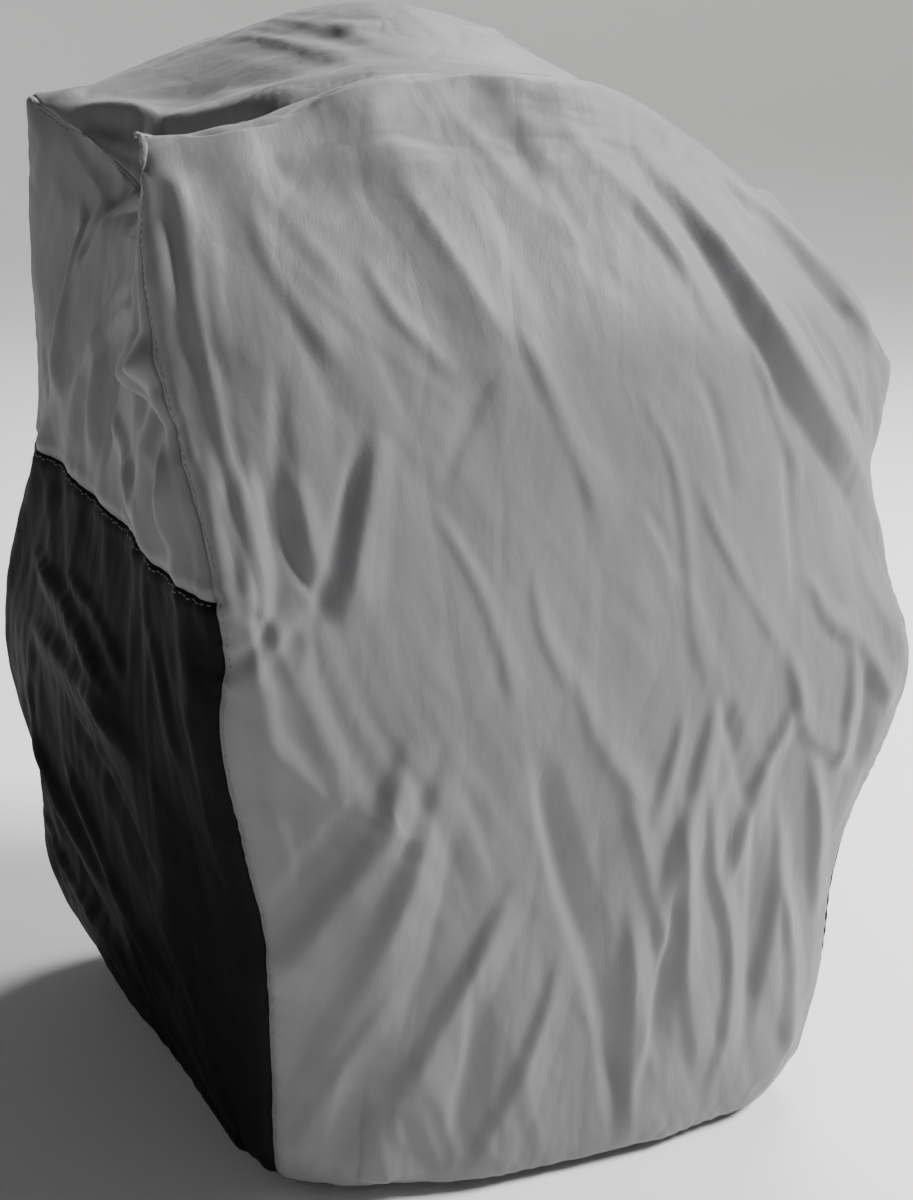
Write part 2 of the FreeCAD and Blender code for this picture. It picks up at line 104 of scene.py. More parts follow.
HIPS = dict(
    corners=[(-.145, -.133, .056), (.156, -.148, .054), (.150, .138, .055), (-.164, .153, .054)],
    front=[(-.050, -.165, .054), (.040, -.168, .054)],
    right=[(.166, .000, .054)],
    back=[(.000, .152, .054)],
    left=[(-.168, .000, .054)],
    soft=(.030, .036, .044, .034))
FOOT = dict(
    corners=[(-.140, -.127, .014), (.136, -.151, .016), (.134, .124, .015), (-.146, .138, .016)],
    front=[(-.070, -.159, .011), (-.010, -.167, .011), (.060, -.168, .012)],
    right=[(.150, .000, .014)],
    back=[(.000, .140, .014)],
    left=[(-.151, .000, .014)],
    soft=(.030, .036, .040, .034))
TURN = dict(
    corners=[(-.134, -.121, .0035), (.125, -.144, .0035), (.124, .114, .0035), (-.138, .127, .0035)],
    front=[(-.070, -.152, .0035), (-.010, -.160, .0035), (.060, -.160, .0035)],
    right=[(.138, .000, .0035)],
    back=[(.000, .130, .0035)],
    left=[(-.143, .000, .0035)],
    soft=(.030, .034, .038, .032))
LEVELS = [RIM, SHELF, FOLD, SEAM, BULGE, SKIRT, HIPS, FOOT, TURN]
ROWS_BETWEEN = [15, 11, 20, 16, 29, 16, 11, 4]   # rows of cloth from each level to the next
COLUMNS = (98, 66, 98, 66)                     # columns along the front, right, back and left edges
SEAM_ROW = sum(ROWS_BETWEEN[:3])               # the row where the grey sides meet the black ones
HEM_ROW = sum(ROWS_BETWEEN)                    # the last row, where the hem's casing starts


# ---- curves -------------------------------------------------------------------------------------
def smooth_line(points, count=400):
    """Points of a smooth line through the given ones, evenly spaced, with its running length."""
    p = np.array(points, float)
    if len(p) == 2:
        line = p[0] + np.linspace(0, 1, count)[:, None] * (p[1] - p[0])
    else:
        ends = np.vstack([2 * p[0] - p[1], p, 2 * p[-1] - p[-2]])
        line = []
        for i in range(len(p) - 1):
            a, b, c, d = ends[i:i + 4]
            t = np.linspace(0, 1, 60, endpoint=False)[:, None]
            line.append(.5 * (2 * b + (c - a) * t + (2 * a - 5 * b + 4 * c - d) * t ** 2
                              + (3 * b - a - 3 * c + d) * t ** 3))
        line = np.vstack(line + [p[-1:]])
    length = np.concatenate([[0], np.cumsum(np.linalg.norm(np.diff(line, axis=0), axis=1))])
    at = np.linspace(0, length[-1], count)
    return np.stack([np.interp(at, length, line[:, k]) for k in range(3)], 1), at


def along(line, at, where):
    """The points of a line at those running lengths."""
    return np.stack([np.interp(where, at, line[:, k]) for k in range(3)], -1)


def outline(level):
    """The four edges of a level, each from corner to corner, with the corners rounded."""
    names = ("front", "right", "back", "left")
    corner = np.array(level["corners"])
    for pushed in (False, True):
        lines = [smooth_line([corner[i], *level[names[i]], corner[(i + 1) % 4]]) for i in range(4)]
        if not pushed:   # the rounding cuts inside the corners, so they start further out
            soft = level["soft"]
            inside = [(along(*lines[i], soft[i]) + along(*lines[i - 1], lines[i - 1][1][-1] - soft[i])) / 2
                      for i in range(4)]
            corner = corner + .5 * (corner - np.array(inside))
    edges = []
    for i in range(4):
        line, at = lines[i]
        where = np.linspace(0, at[-1], COLUMNS[i] + 1)
        points = along(line, at, where)
        for end, other in ((0, (i - 1) % 4), (1, (i + 1) % 4)):
            c = (i + end) % 4
            soft = level["soft"][c]
            d = where if end == 0 else at[-1] - where
            mine = along(line, at, np.array([soft if end == 0 else at[-1] - soft]))[0]
            o_line, o_at = lines[other]
            theirs = along(o_line, o_at, np.array([o_at[-1] - soft if end == 0 else soft]))[0]
            near = d < soft
            s = (.5 + .5 * d[near] / soft)[:, None]
            points[near] = (1 - s) ** 2 * theirs + 2 * s * (1 - s) * corner[c] + s ** 2 * mine
        edges.append(points)
    return edges


def cover_grid():
    """(side rows by columns, top patch): points of the cover's skin. Columns start at the front left."""
    rings, tops = [], None
    for level in LEVELS:
        edges = outline(level)
        if tops is None:
            tops = edges
        rings.append(np.vstack([e[:-1] for e in edges]))
    rings = np.array(rings)
    step = np.linalg.norm(np.diff(rings, axis=0), axis=2).mean(1)
    slope = np.zeros_like(rings)
    slope[0] = (rings[1] - rings[0]) / step[0]
    slope[-1] = (rings[-1] - rings[-2]) / step[-1]
    for k in range(1, len(rings) - 1):
        before, after = (rings[k] - rings[k - 1]) / step[k - 1], (rings[k + 1] - rings[k]) / step[k]
        slope[k] = (before * step[k] + after * step[k - 1]) / (step[k] + step[k - 1])
    rows = []
    for k, count in enumerate(ROWS_BETWEEN):
        for t in np.arange(count) / count:
            above = (2 * t ** 3 - 3 * t ** 2 + 1) * rings[k]
            above = above + (t ** 3 - 2 * t ** 2 + t) * step[k] * slope[k]
            below = (3 * t ** 2 - 2 * t ** 3) * rings[k + 1] + (t ** 3 - t ** 2) * step[k] * slope[k + 1]
            rows.append(above + below)
    rows.append(rings[-1])
    front, right, back, left = tops
    back, left = back[::-1], left[::-1]
    s = np.linspace(0, 1, COLUMNS[0] + 1)[:, None, None]
    t = np.linspace(0, 1, COLUMNS[1] + 1)[None, :, None]
    edges = (1 - t) * front[:, None] + t * back[:, None] + (1 - s) * left[None] + s * right[None]
    corners = ((1 - s) * (1 - t) * front[0] + s * (1 - t) * front[-1]
               + s * t * back[-1] + (1 - s) * t * back[0])
    return np.array(rows), edges - corners


def crown(patch):
    """Raises the top into its dome over the handle, and sinks the hollow behind the front left ear."""
    x, y, z = patch[..., 0], patch[..., 1], patch[..., 2]
    s = np.linspace(0, 1, patch.shape[0])[:, None]
    t = np.linspace(0, 1, patch.shape[1])[None, :]
    inside = np.clip(6 * np.minimum(np.minimum(s, 1 - s), np.minimum(t, 1 - t)), 0, 1)
    inside = inside * inside * (3 - 2 * inside)
    dome = np.exp(-(x / .116) ** 2 - ((y - .055) / .068) ** 2)
    hollow = np.exp(-((x + .140) / .055) ** 2 - ((y + .052) / .036) ** 2)
    z = z + (.032 * dome - .019 * hollow) * inside
    return np.stack([x, y, z], -1)


def build_skin():
    """The skin as (vertices, faces, panel of each face)."""
    rows, patch = cover_grid()
    patch = crown(patch)
    n_rows, n_cols = rows.shape[:2]
    nf, ns = COLUMNS[0], COLUMNS[1]
    verts = [rows.reshape(-1, 3)]
    index = np.full((nf + 1, ns + 1), -1)
    for i in range(nf + 1):
        index[i, 0] = i
        index[i, ns] = (nf + ns + nf - i) % n_cols
    for j in range(ns + 1):
        index[nf, j] = nf + j
        index[0, j] = (2 * nf + 2 * ns - j) % n_cols
    inner = patch[1:-1, 1:-1].reshape(-1, 3)
    index[1:-1, 1:-1] = n_rows * n_cols + np.arange(len(inner)).reshape(nf - 1, ns - 1)
    verts.append(inner)
    faces, panel = [], []
    for r in range(n_rows - 1):
        for c in range(n_cols):
            d = (c + 1) % n_cols
            faces.append((r * n_cols + c, (r + 1) * n_cols + c, (r + 1) * n_cols + d, r * n_cols + d))
            side = "strip" if c < nf or nf + ns <= c < 2 * nf + ns else ("right" if c < nf + ns else "left")
            if side != "strip":
                side += "_upper" if r < SEAM_ROW else "_lower"
            panel.append(side)
    for i in range(nf):
        for j in range(ns):
            faces.append((index[i, j], index[i + 1, j], index[i + 1, j + 1], index[i, j + 1]))
            panel.append("strip")
    return np.vstack(verts), faces, panel


def mesh_object(name, verts, faces, smooth=True):
    data = bpy.data.meshes.new(name)
    data.from_pydata([tuple(v) for v in verts], [], [tuple(int(i) for i in f) for f in faces])
    data.validate()
    if smooth:
        data.polygons.foreach_set("use_smooth", [True] * len(data.polygons))
    data.update()
    obj = bpy.data.objects.new(name, data)
    bpy.context.scene.collection.objects.link(obj)
    return obj


def grid_faces(n_rows, n_cols):
    """The faces between rings of points, each ring closed."""
    return [(r * n_cols + c, r * n_cols + (c + 1) % n_cols, (r + 1) * n_cols + (c + 1) % n_cols,
             (r + 1) * n_cols + c) for r in range(n_rows - 1) for c in range(n_cols)]


def places(data):
    """Where the mesh's vertices are, one row each."""
    co = np.empty(len(data.vertices) * 3)
    data.vertices.foreach_get("co", co)
    return co.reshape(-1, 3)


def put(data, co):
    """Moves the mesh's vertices there."""
    data.vertices.foreach_set("co", np.asarray(co, float).ravel())
    data.update()


def normals(data):
    out = np.empty(len(data.vertices) * 3)
    data.vertices.foreach_get("normal", out)
    return out.reshape(-1, 3)


def ease(low, high, value):
    """0 below low, 1 above high, and a smooth step between."""
    t = np.clip((value - low) / (high - low), 0, 1)
    return t * t * (3 - 2 * t)


def applied(obj):
    """The object's mesh with its modifiers made real, and none left."""
    ready = obj.evaluated_get(bpy.context.evaluated_depsgraph_get())
    data = bpy.data.meshes.new_from_object(ready)
    obj.modifiers.clear()
    obj.data = data
    return obj


# ---- the cloth ----------------------------------------------------------------------------------
SIM_FRAMES = 24
HEM_FULLNESS = .10      # how much wider the cloth is cut than the elastic lets it lie
BODY_FULLNESS = .018    # the same, all the way up
HEIGHT_FULLNESS = 1.012
FORM_GAP = .005         # how far the cloth may sink below the shape it starts from
PRESSURE = .3
MOST_MOVE = .018        # how far the simulation may carry the cloth from the shape it starts from
RIM_POINTS = RIM["corners"]
TOP_GRIP = .10          # how firmly the top keeps its dome


def simulate(skin):
    """Lets the skin, cut fuller than the shape it hangs in, buckle into folds of its own."""
    data = skin.data
    start = places(data)
    skin.shape_key_add(name="Basis")
    cut = skin.shape_key_add(name="cut")
    z = start[:, 2]
    full = 1 + BODY_FULLNESS + HEM_FULLNESS * ease(.215, .06, z)
    rest = start.copy()
    rest[:, 0] *= full
    rest[:, 1] *= full
    rest[:, 2] *= HEIGHT_FULLNESS
    cut.data.foreach_set("co", rest.ravel())
    hold = skin.vertex_groups.new(name="hold")
    for i, p in enumerate(start):
        grip = .020 + .30 * math.exp(-(z[i] / .020) ** 2) + TOP_GRIP * float(ease(.470, .500, z[i]))
        for ear in RIM_POINTS:
            gap = math.dist(p, ear)
            if gap < .05:
                grip = max(grip, .9 * (1 - gap / .05))
        hold.add([i], min(grip, 1.0), "REPLACE")
    form = mesh_object("form", start - FORM_GAP * normals(data), [tuple(f.vertices) for f in data.polygons])
    form.modifiers.new("hard", "COLLISION")
    form.collision.thickness_outer = .001
    form.collision.cloth_friction = 8
    cloth = skin.modifiers.new("cloth", "CLOTH")
    c = cloth.settings
    c.quality = 6
    c.mass = .12
    c.tension_stiffness = 25
    c.compression_stiffness = 25
    c.shear_stiffness = 8
    c.bending_stiffness = .08
    c.air_damping = 3
    c.vertex_group_mass = "hold"
    c.pin_stiffness = 1.0
    c.rest_shape_key = cut
    c.effector_weights.gravity = .35
    c.use_pressure = True
    c.uniform_pressure_force = PRESSURE
    cloth.collision_settings.use_collision = True
    cloth.collision_settings.distance_min = .001
    cloth.collision_settings.collision_quality = 2
    cloth.collision_settings.use_self_collision = False
    cloth.point_cache.frame_start = 1
    cloth.point_cache.frame_end = SIM_FRAMES
    for f in range(1, SIM_FRAMES + 1):
        bpy.context.scene.frame_set(f)
    ready = skin.evaluated_get(bpy.context.evaluated_depsgraph_get())
    found = bpy.data.meshes.new_from_object(ready)
    end = places(found)
    move = end - start
    size = np.linalg.norm(move, axis=1)[:, None]
    end = start + move * np.minimum(1, MOST_MOVE / np.maximum(size, 1e-9))
    skin.modifiers.clear()
    skin.shape_key_clear()
    bpy.data.objects.remove(form)
    put(skin.data, end)
    bpy.context.scene.frame_set(1)


# Folds pressed into the front (x, z), the left side (y, z), the top (x, y), the back (x, z) and the right
# side (y, z): the line that each runs along, its width and its height in millimetres; a height below zero
# is a crease. The steep side is to the right of the way the line runs.
FRONT_FOLDS = [
    # the pinch beside the front left corner: creases that meet low down, and the tight cloth between them
    ([(-.181, .372), (-.180, .338), (-.182, .308), (-.181, .280)], 6, 3.5),
    ([(-.150, .402), (-.152, .376), (-.151, .350)], 3, -1.8),
    ([(-.161, .366), (-.157, .340), (-.156, .320), (-.158, .292)], 5, -3.2),
    ([(-.157, .374), (-.152, .342), (-.149, .322), (-.137, .299)], 3, -2.4),
    ([(-.117, .372), (-.127, .335), (-.134, .315), (-.141, .286)], 4, -3.6),
    ([(-.134, .304), (-.149, .292), (-.163, .270)], 4, -1.8),
    ([(-.156, .312), (-.163, .293), (-.171, .284), (-.186, .274)], 3, -2.6),
    ([(-.161, .302), (-.164, .276)], 2.5, -1.2),
    ([(-.169, .362), (-.167, .327), (-.169, .298)], 5, 2.6),
    ([(-.147, .362), (-.143, .332), (-.139, .304)], 4, 2.4),
    ([(-.108, .380), (-.118, .335), (-.129, .290)], 6, 3),
    ([(-.182, .301), (-.170, .305), (-.158, .297)], 3, 1.4),
    # the long fold that falls from the top to the right corner, and the ones on the shoulder beyond it
    ([(.040, .492), (.062, .448), (.079, .419), (.108, .378), (.133, .350), (.166, .316), (.188, .284),
      (.194, .258)], 11, 9),
    ([(.060, .500), (.085, .468), (.103, .447), (.135, .424), (.182, .388)], 6, -3),
    ([(.090, .474), (.130, .440), (.170, .404), (.204, .370)], 6, 2.8),
    ([(.112, .446), (.150, .410), (.186, .368)], 4, -1.8),
    ([(.094, .426), (.125, .396), (.156, .360)], 4, 2),
    ([(.116, .413), (.140, .384), (.172, .342)], 4, -1.6),
    ([(.141, .398), (.160, .370), (.180, .338)], 4, 1.6),
    ([(.033, .486), (.051, .459), (.076, .424)], 4, 1.8),
    ([(.015, .477), (.036, .446), (.065, .396)], 4, 1.7),
    # slanting creases above and below the front's shelf
    ([(-.060, .504), (-.031, .464), (.004, .432)], 3.4, 1.6),
    ([(-.047, .491), (-.012, .463), (-.001, .414)], 3.4, -1.2),
    ([(-.008, .494), (.030, .453), (.055, .418)], 4, 2),
    ([(-.151, .462), (-.148, .435), (-.122, .392)], 4, 1.5),
    ([(-.180, .470), (-.188, .443), (-.188, .412)], 4, 1.4),
    ([(-.095, .480), (-.072, .440), (-.042, .392)], 3.4, 1.2),
    ([(-.112, .446), (-.098, .415), (-.070, .386)], 3.4, 1.3),
    ([(-.046, .416), (-.025, .366), (-.004, .320)], 4, 1.5),
    ([(-.090, .344), (-.070, .307), (-.059, .280), (-.049, .240)], 3.4, 1.5),
    ([(-.042, .314), (-.037, .279), (-.018, .246)], 3.4, 1.3),
    ([(-.083, .342), (-.070, .368), (-.056, .392)], 4, -1.2),
    ([(.010, .385), (.030, .350), (.039, .305), (.043, .268), (.056, .236)], 3.4, 1.6),
    ([(.014, .334), (.026, .313), (.037, .292)], 3, -1.1),
    ([(.040, .347), (.062, .303), (.101, .247)], 3.6, 1.5),
    ([(.099, .355), (.103, .315), (.107, .266)], 3.5, -1.6),
    ([(.044, .392), (.056, .365), (.067, .322)], 3.5, -1.5),
    ([(.076, .402), (.094, .366), (.114, .328)], 4, 1.8),
    # short sharp folds that open downwards from the widest part of the cloth
    ([(.039, .242), (.033, .212), (.024, .170)], 5, 2.2),
    ([(.057, .248), (.050, .208), (.042, .160), (.040, .130)], 6, 3),
    ([(.054, .246), (.068, .212), (.084, .176)], 5, -2.4),
    ([(.110, .236), (.092, .203), (.080, .160), (.078, .130)], 6, 3.2),
    ([(.097, .264), (.111, .218), (.126, .204), (.150, .190)], 5, 2.8),
    ([(.115, .290), (.128, .264), (.152, .249)], 5, 3.2),
    ([(.143, .260), (.144, .228), (.140, .180)], 5, 3),
    ([(.144, .259), (.158, .238), (.178, .212)], 5, 3),
    ([(.152, .246), (.156, .222), (.153, .180)], 4, -2),
    ([(-.022, .260), (-.009, .228), (.022, .188)], 4, 1.7),
    # the drape of the lower front, slanting on the left and upright on the right
    ([(-.096, .250), (-.112, .194), (-.132, .156), (-.152, .108)], 10, 5.5),
    ([(-.078, .244), (-.098, .170), (-.115, .112), (-.132, .036)], 10, 5.5),
    ([(-.116, .226), (-.137, .190), (-.156, .148)], 7, -2.4),
    ([(-.040, .172), (-.078, .090), (-.106, .010)], 9, 4.5),
    ([(-.014, .134), (-.032, .066), (-.058, .004)], 7, 2.8),
    ([(-.098, .124), (-.119, .072), (-.136, .016)], 6, 2.6),
    ([(-.046, .244), (-.021, .165), (.006, .097), (.028, .004)], 8, -4.2),
    ([(.004, .210), (.028, .150), (.046, .100)], 5, 2.6),
    ([(.018, .150), (.025, .070), (.029, .004)], 7, 4),
    ([(.045, .156), (.040, .088), (.031, .020)], 5, -3),
    ([(.036, .206), (.049, .136), (.054, .094), (.071, .030)], 5, 3.2),
    ([(.052, .220), (.065, .154), (.079, .112), (.083, .062), (.072, .012)], 5, 3),
    ([(.080, .196), (.094, .130), (.099, .050)], 6, -2.6),
    ([(.098, .196), (.109, .130), (.102, .040)], 6, 2.8),
    ([(.118, .204), (.134, .149), (.144, .098)], 5, 3.6),
    ([(.108, .146), (.125, .080), (.128, .024)], 6, 3.4),
    ([(-.168, .254), (-.133, .216), (-.080, .188)], 6, 2),
    ([(-.064, .130), (-.060, .074), (-.067, .016)], 6, -2),
]
LEFT_FOLDS = [
    # the long hollow that runs down and back from behind the front ear, and the ridges that fan beside it
    ([(-.070, .462), (.020, .455), (.057, .440), (.077, .396), (.104, .368)], 20, -9),
    ([(.020, .458), (.032, .433), (.046, .415)], 6, -3),
    ([(-.096, .432), (-.018, .402), (-.006, .368), (.000, .322)], 7, 5),
    ([(-.100, .422), (-.007, .386), (.021, .353), (.042, .322)], 7, 5),
    ([(-.109, .418), (-.040, .384), (-.025, .352), (-.022, .318)], 6, -3),
    # the tip of cloth that stands out beside the seam, and the shade under it
    ([(-.132, .396), (-.116, .392), (-.086, .383)], 8, 8),
    ([(-.073, .376), (-.112, .372), (-.146, .366)], 9, -6),
    ([(.079, .450), (.060, .425), (.055, .383), (.060, .340)], 8, 4),
    ([(-.020, .358), (-.073, .341), (-.100, .316)], 7, 4),
    ([(-.049, .328), (-.086, .315), (-.110, .306)], 5, -3),
    ([(-.120, .366), (-.134, .350), (-.132, .320)], 6, 4),
    # the black cloth is drawn down from the back towards the foot of the front corner
    ([(.094, .267), (.017, .257), (-.044, .236), (-.080, .220)], 8, 4.5),
    ([(.087, .228), (.011, .229), (-.053, .219), (-.088, .195)], 10, 5),
    ([(.088, .206), (.070, .160), (.026, .131), (-.010, .100)], 9, 4.5),
    ([(.040, .180), (.000, .146), (-.038, .105), (-.066, .078)], 8, 4),
    ([(.026, .276), (-.037, .262), (-.078, .240)], 5, 2.5),
    ([(.129, .110), (.065, .076), (.007, .062)], 8, 3.5),
    ([(-.100, .290), (-.115, .259), (-.125, .216)], 6, 2.5),
    ([(.020, .205), (-.040, .180), (-.090, .140)], 7, -3),
    ([(.110, .160), (.060, .110), (.020, .070)], 8, -3.5),
]
TOP_FOLDS = [
    ([(-.040, -.084), (-.100, -.091), (-.150, -.097), (-.186, -.101)], 7, 3),
    ([(-.174, .110), (-.150, .072), (-.126, .030), (-.106, -.012), (-.086, -.056)], 11, 8),
    ([(-.110, .118), (-.060, .110), (.010, .112)], 9, 1.2),
    ([(.070, -.070), (.030, -.040), (-.030, -.034)], 8, 1.4),
    ([(.100, -.050), (.060, .000), (.010, .030)], 7, 3),
    ([(.150, -.030), (.110, .010), (.060, .036)], 8, 3.5),
]
BACK_FOLDS = [
    # the cloth falls straight from the top, catches on the sleeve, and gathers to the hem
    ([(-.166, .455), (-.146, .380), (-.150, .280)], 10, 4.5),
    ([(-.118, .500), (-.106, .430), (-.128, .330), (-.124, .270)], 9, 4),
    ([(-.030, .505), (-.052, .440), (-.060, .330)], 8, 3),
    ([(.048, .495), (.072, .430), (.058, .380)], 8, -3),
    ([(.096, .470), (.088, .400), (.104, .330), (.134, .270)], 9, 4.5),
    ([(.160, .420), (.150, .370), (.160, .310)], 9, 4),
    ([(-.140, .215), (-.122, .140), (-.108, .020)], 12, 6),
    ([(-.098, .290), (-.086, .200), (-.094, .090), (-.078, .030)], 10, 5),
    ([(-.052, .185), (-.040, .110), (-.050, .015)], 11, 5),
    ([(-.010, .260), (-.018, .170), (.004, .080), (-.006, .015)], 9, -4),
    ([(.040, .150), (.034, .090), (.040, .015)], 10, 5),
    ([(.066, .275), (.080, .190), (.060, .090), (.064, .020)], 10, 5),
    ([(.112, .195), (.104, .130), (.094, .030)], 11, 5.5),
    ([(.146, .255), (.132, .180), (.122, .080)], 10, 5),
    ([(.004, .360), (.022, .310), (.056, .280)], 6, 2.5),
    ([(-.070, .330), (-.040, .300), (-.030, .260)], 6, 2.5),
]
RIGHT_FOLDS = [
    ([(-.070, .360), (-.066, .320), (-.080, .270)], 8, 4.5),
    ([(-.020, .370), (-.022, .330), (-.012, .280)], 8, 3.5),
    ([(.050, .372), (.060, .330), (.080, .280)], 9, 4.5),
    ([(-.060, .220), (-.056, .140), (-.066, .040)], 11, 5),
    ([(-.005, .230), (.004, .150), (-.008, .040)], 11, 5),
    ([(.040, .215), (.046, .130), (.036, .030)], 10, -4),
    ([(.086, .220), (.090, .140), (.078, .040)], 11, 5),
]
CREASE_SOFTNESS = 1     # how often the folds' heights are evened out with their neighbours'


def fold_height(flat, line, width, height):
    """Height of one fold at the flat places: narrow and low at both ends, and steeper on one side."""
    if len(line) == 2:
        line = [line[0], tuple((np.array(line[0]) + line[1]) / 2), line[1]]
    run, at = smooth_line([(a, b, 0) for a, b in line], 50)
    run = run[:, :2]
    reach = 4 * width
    near = np.where(((flat > run.min(0) - reach) & (flat < run.max(0) + reach)).all(1))[0]
    out = np.zeros(len(flat))
    if not len(near):
        return out
    gap = flat[near][:, None] - run[None]
    k = np.einsum("ijk,ijk->ij", gap, gap).argmin(1)
    tangent = np.gradient(run, axis=0)
    tangent /= np.linalg.norm(tangent, axis=1)[:, None]
    g = gap[np.arange(len(near)), k]
    d = g[:, 0] * tangent[k, 1] - g[:, 1] * tangent[k, 0]
    t = np.clip((at[k] + (g * tangent[k]).sum(1)) / at[-1], 0, 1)
    swell = ease(0, .30, t) * ease(0, .22, 1 - t)
    wide = width * (.55 + .75 * t)
    across = np.where(d > 0, d / (.9 * wide), d / (2.1 * wide))
    shape = np.maximum(0, 1 - np.sqrt(across ** 2 + .012) + .11)
    out[near] = height * shape * swell * (1 + .18 * np.sin(at[-1] * 900 + 9 * t))
    return out


def facets(flat, seed, spacing, stretch, lean, height):
    """Height of a field of flat facets, longer one way, as on cloth that was crushed and drawn tight."""
    pick = np.random.RandomState(seed)
    c, s = math.cos(lean), math.sin(lean)
    q = (flat @ np.array([[c, s], [-s, c]]).T) / (spacing * np.array([1, stretch]))
    low, high = np.floor(q.min(0)) - 1, np.ceil(q.max(0)) + 2
    u, v = np.meshgrid(np.arange(low[0], high[0]), np.arange(low[1], high[1]))
    knots = np.stack([u.ravel() + .5 * (v.ravel() % 2), v.ravel()], 1)
    knots += pick.uniform(-.42, .42, (u.size, 2))
    lift = pick.normal(0, 1, len(knots))
    spots, _, cells, first, _, _ = geometry.delaunay_2d_cdt([Vector(k) for k in knots], [], [], 0, 1e-6)
    spots = np.array([tuple(p) for p in spots])
    lift = np.array([lift[f[0]] for f in first])
    order = np.argsort(q[:, 0])
    sorted_u = q[order, 0]
    out = np.zeros(len(flat))
    for cell in cells:
        corner = spots[list(cell)]
        a, b = np.searchsorted(sorted_u, (corner[:, 0].min(), corner[:, 0].max()))
        some = order[a:b]
        some = some[(q[some, 1] >= corner[:, 1].min()) & (q[some, 1] <= corner[:, 1].max())]
        if not len(some):
            continue
        sides = np.stack([corner[1] - corner[0], corner[2] - corner[0]], 1)
        share = np.linalg.solve(sides, (q[some] - corner[0]).T).T
        inside = (share >= -1e-9).all(1) & (share.sum(1) <= 1 + 1e-9)
        h = lift[list(cell)]
        out[some[inside]] = h[0] + share[inside] @ (h[1:] - h[0])
    return height * out


def press_folds(data):
    """Presses the drawn folds and a field of small facets into each side of the cover."""
    co, n = places(data), normals(data)
    total = np.zeros(len(co))
    # folds, the plane they are drawn in, where that side of the cloth is, and which way its facets lean
    sides = ((FRONT_FOLDS, (0, 2), ease(.15, .45, -n[:, 1]), .34),
             (LEFT_FOLDS, (1, 2), ease(.15, .45, -n[:, 0]), -.5),
             (TOP_FOLDS, (0, 1), ease(.30, .60, n[:, 2]), .9),
             (BACK_FOLDS, (0, 2), ease(.15, .45, n[:, 1]), -.15),
             (RIGHT_FOLDS, (1, 2), ease(.15, .45, n[:, 0]), .15))
    for k, (folds, plane, mask, lean) in enumerate(sides):
        flat = co[:, plane]
        for line, width, height in folds:
            total += mask * fold_height(flat, line, width * .001, height * .001)
        here = np.where(mask > 0)[0]
        total[here] += mask[here] * (facets(flat[here], 10 + k, .026, 3.0, lean, .0010)
                                     + facets(flat[here], 20 + k, .011, 2.6, lean * 1.3, .00030))
    edges = np.array([tuple(e.vertices) for e in data.edges])
    count = np.bincount(edges.ravel(), minlength=len(co))
    for _ in range(CREASE_SOFTNESS):
        mean = (np.bincount(edges[:, 0], total[edges[:, 1]], len(co))
                + np.bincount(edges[:, 1], total[edges[:, 0]], len(co)))
        total += .6 * (mean / count - total)
    put(data, co + n * total[:, None])


def soften(data, weight, times):
    """Moves each vertex towards the middle of its neighbours, by its weight, over and over."""
    co = places(data)
    edges = np.array([tuple(e.vertices) for e in data.edges])
    count = np.bincount(edges.ravel(), minlength=len(co))[:, None]
    for _ in range(times):
        mean = np.zeros_like(co)
        for k in range(3):
            mean[:, k] = (np.bincount(edges[:, 0], co[edges[:, 1], k], len(co))
                          + np.bincount(edges[:, 1], co[edges[:, 0], k], len(co)))
        co += .5 * weight[:, None] * (mean / count - co)
    put(data, co)


def round_edges(data, runs, times):
    """Rounds the cloth along the rim and down the corners: cloth has no sharp box edges."""
    co = places(data)
    weight = np.zeros(len(co))
    for name, reach in EDGE_REACH.items():
        line = smooth_line(co[runs[name]], 2 * len(runs[name]))[0]
        tree = tree_of(line)
        near = np.where(((co > line.min(0) - reach) & (co < line.max(0) + reach)).all(1))[0]
        gap = np.array([tree.find(p)[2] for p in co[near]])
        weight[near] = np.maximum(weight[near], 1 - ease(.3, 1, gap / reach))
    for ear in RIM_POINTS:
        weight *= 1 - .75 * np.exp(-(np.linalg.norm(co - np.array(ear), axis=1) / .014) ** 2)
    soften(data, weight, times)


def between_the_ears(data):
    """The cloth sinks between the two left ears, and the ears themselves stand up."""
    co = places(data)
    x, y, z = co.T
    run, _ = smooth_line([(-.200, -.016, 0), (-.160, -.020, 0), (-.120, -.032, 0), (-.066, -.052, 0)], 30)
    gap = np.linalg.norm(co[:, None, :2] - run[None, :, :2], axis=2)
    k = gap.argmin(1)
    d = gap[np.arange(len(co)), k]
    t = k / 29.0
    dip = (.024 - .014 * t) * np.exp(-(d / (.044 - .026 * t)) ** 2) * (1 - t ** 6)
    co[:, 2] -= dip * ease(.425, .465, z)
    for ear, up in ((RIM["corners"][0], .003), (RIM["corners"][3], .003), (RIM["corners"][1], .002)):
        near = np.exp(-(np.linalg.norm(co - np.array(ear), axis=1) / .018) ** 2)[:, None]
        lean = np.array([ear[0] * 3, ear[1] * 3, .9])
        co += near * up * lean / np.linalg.norm(lean)
    put(data, co)


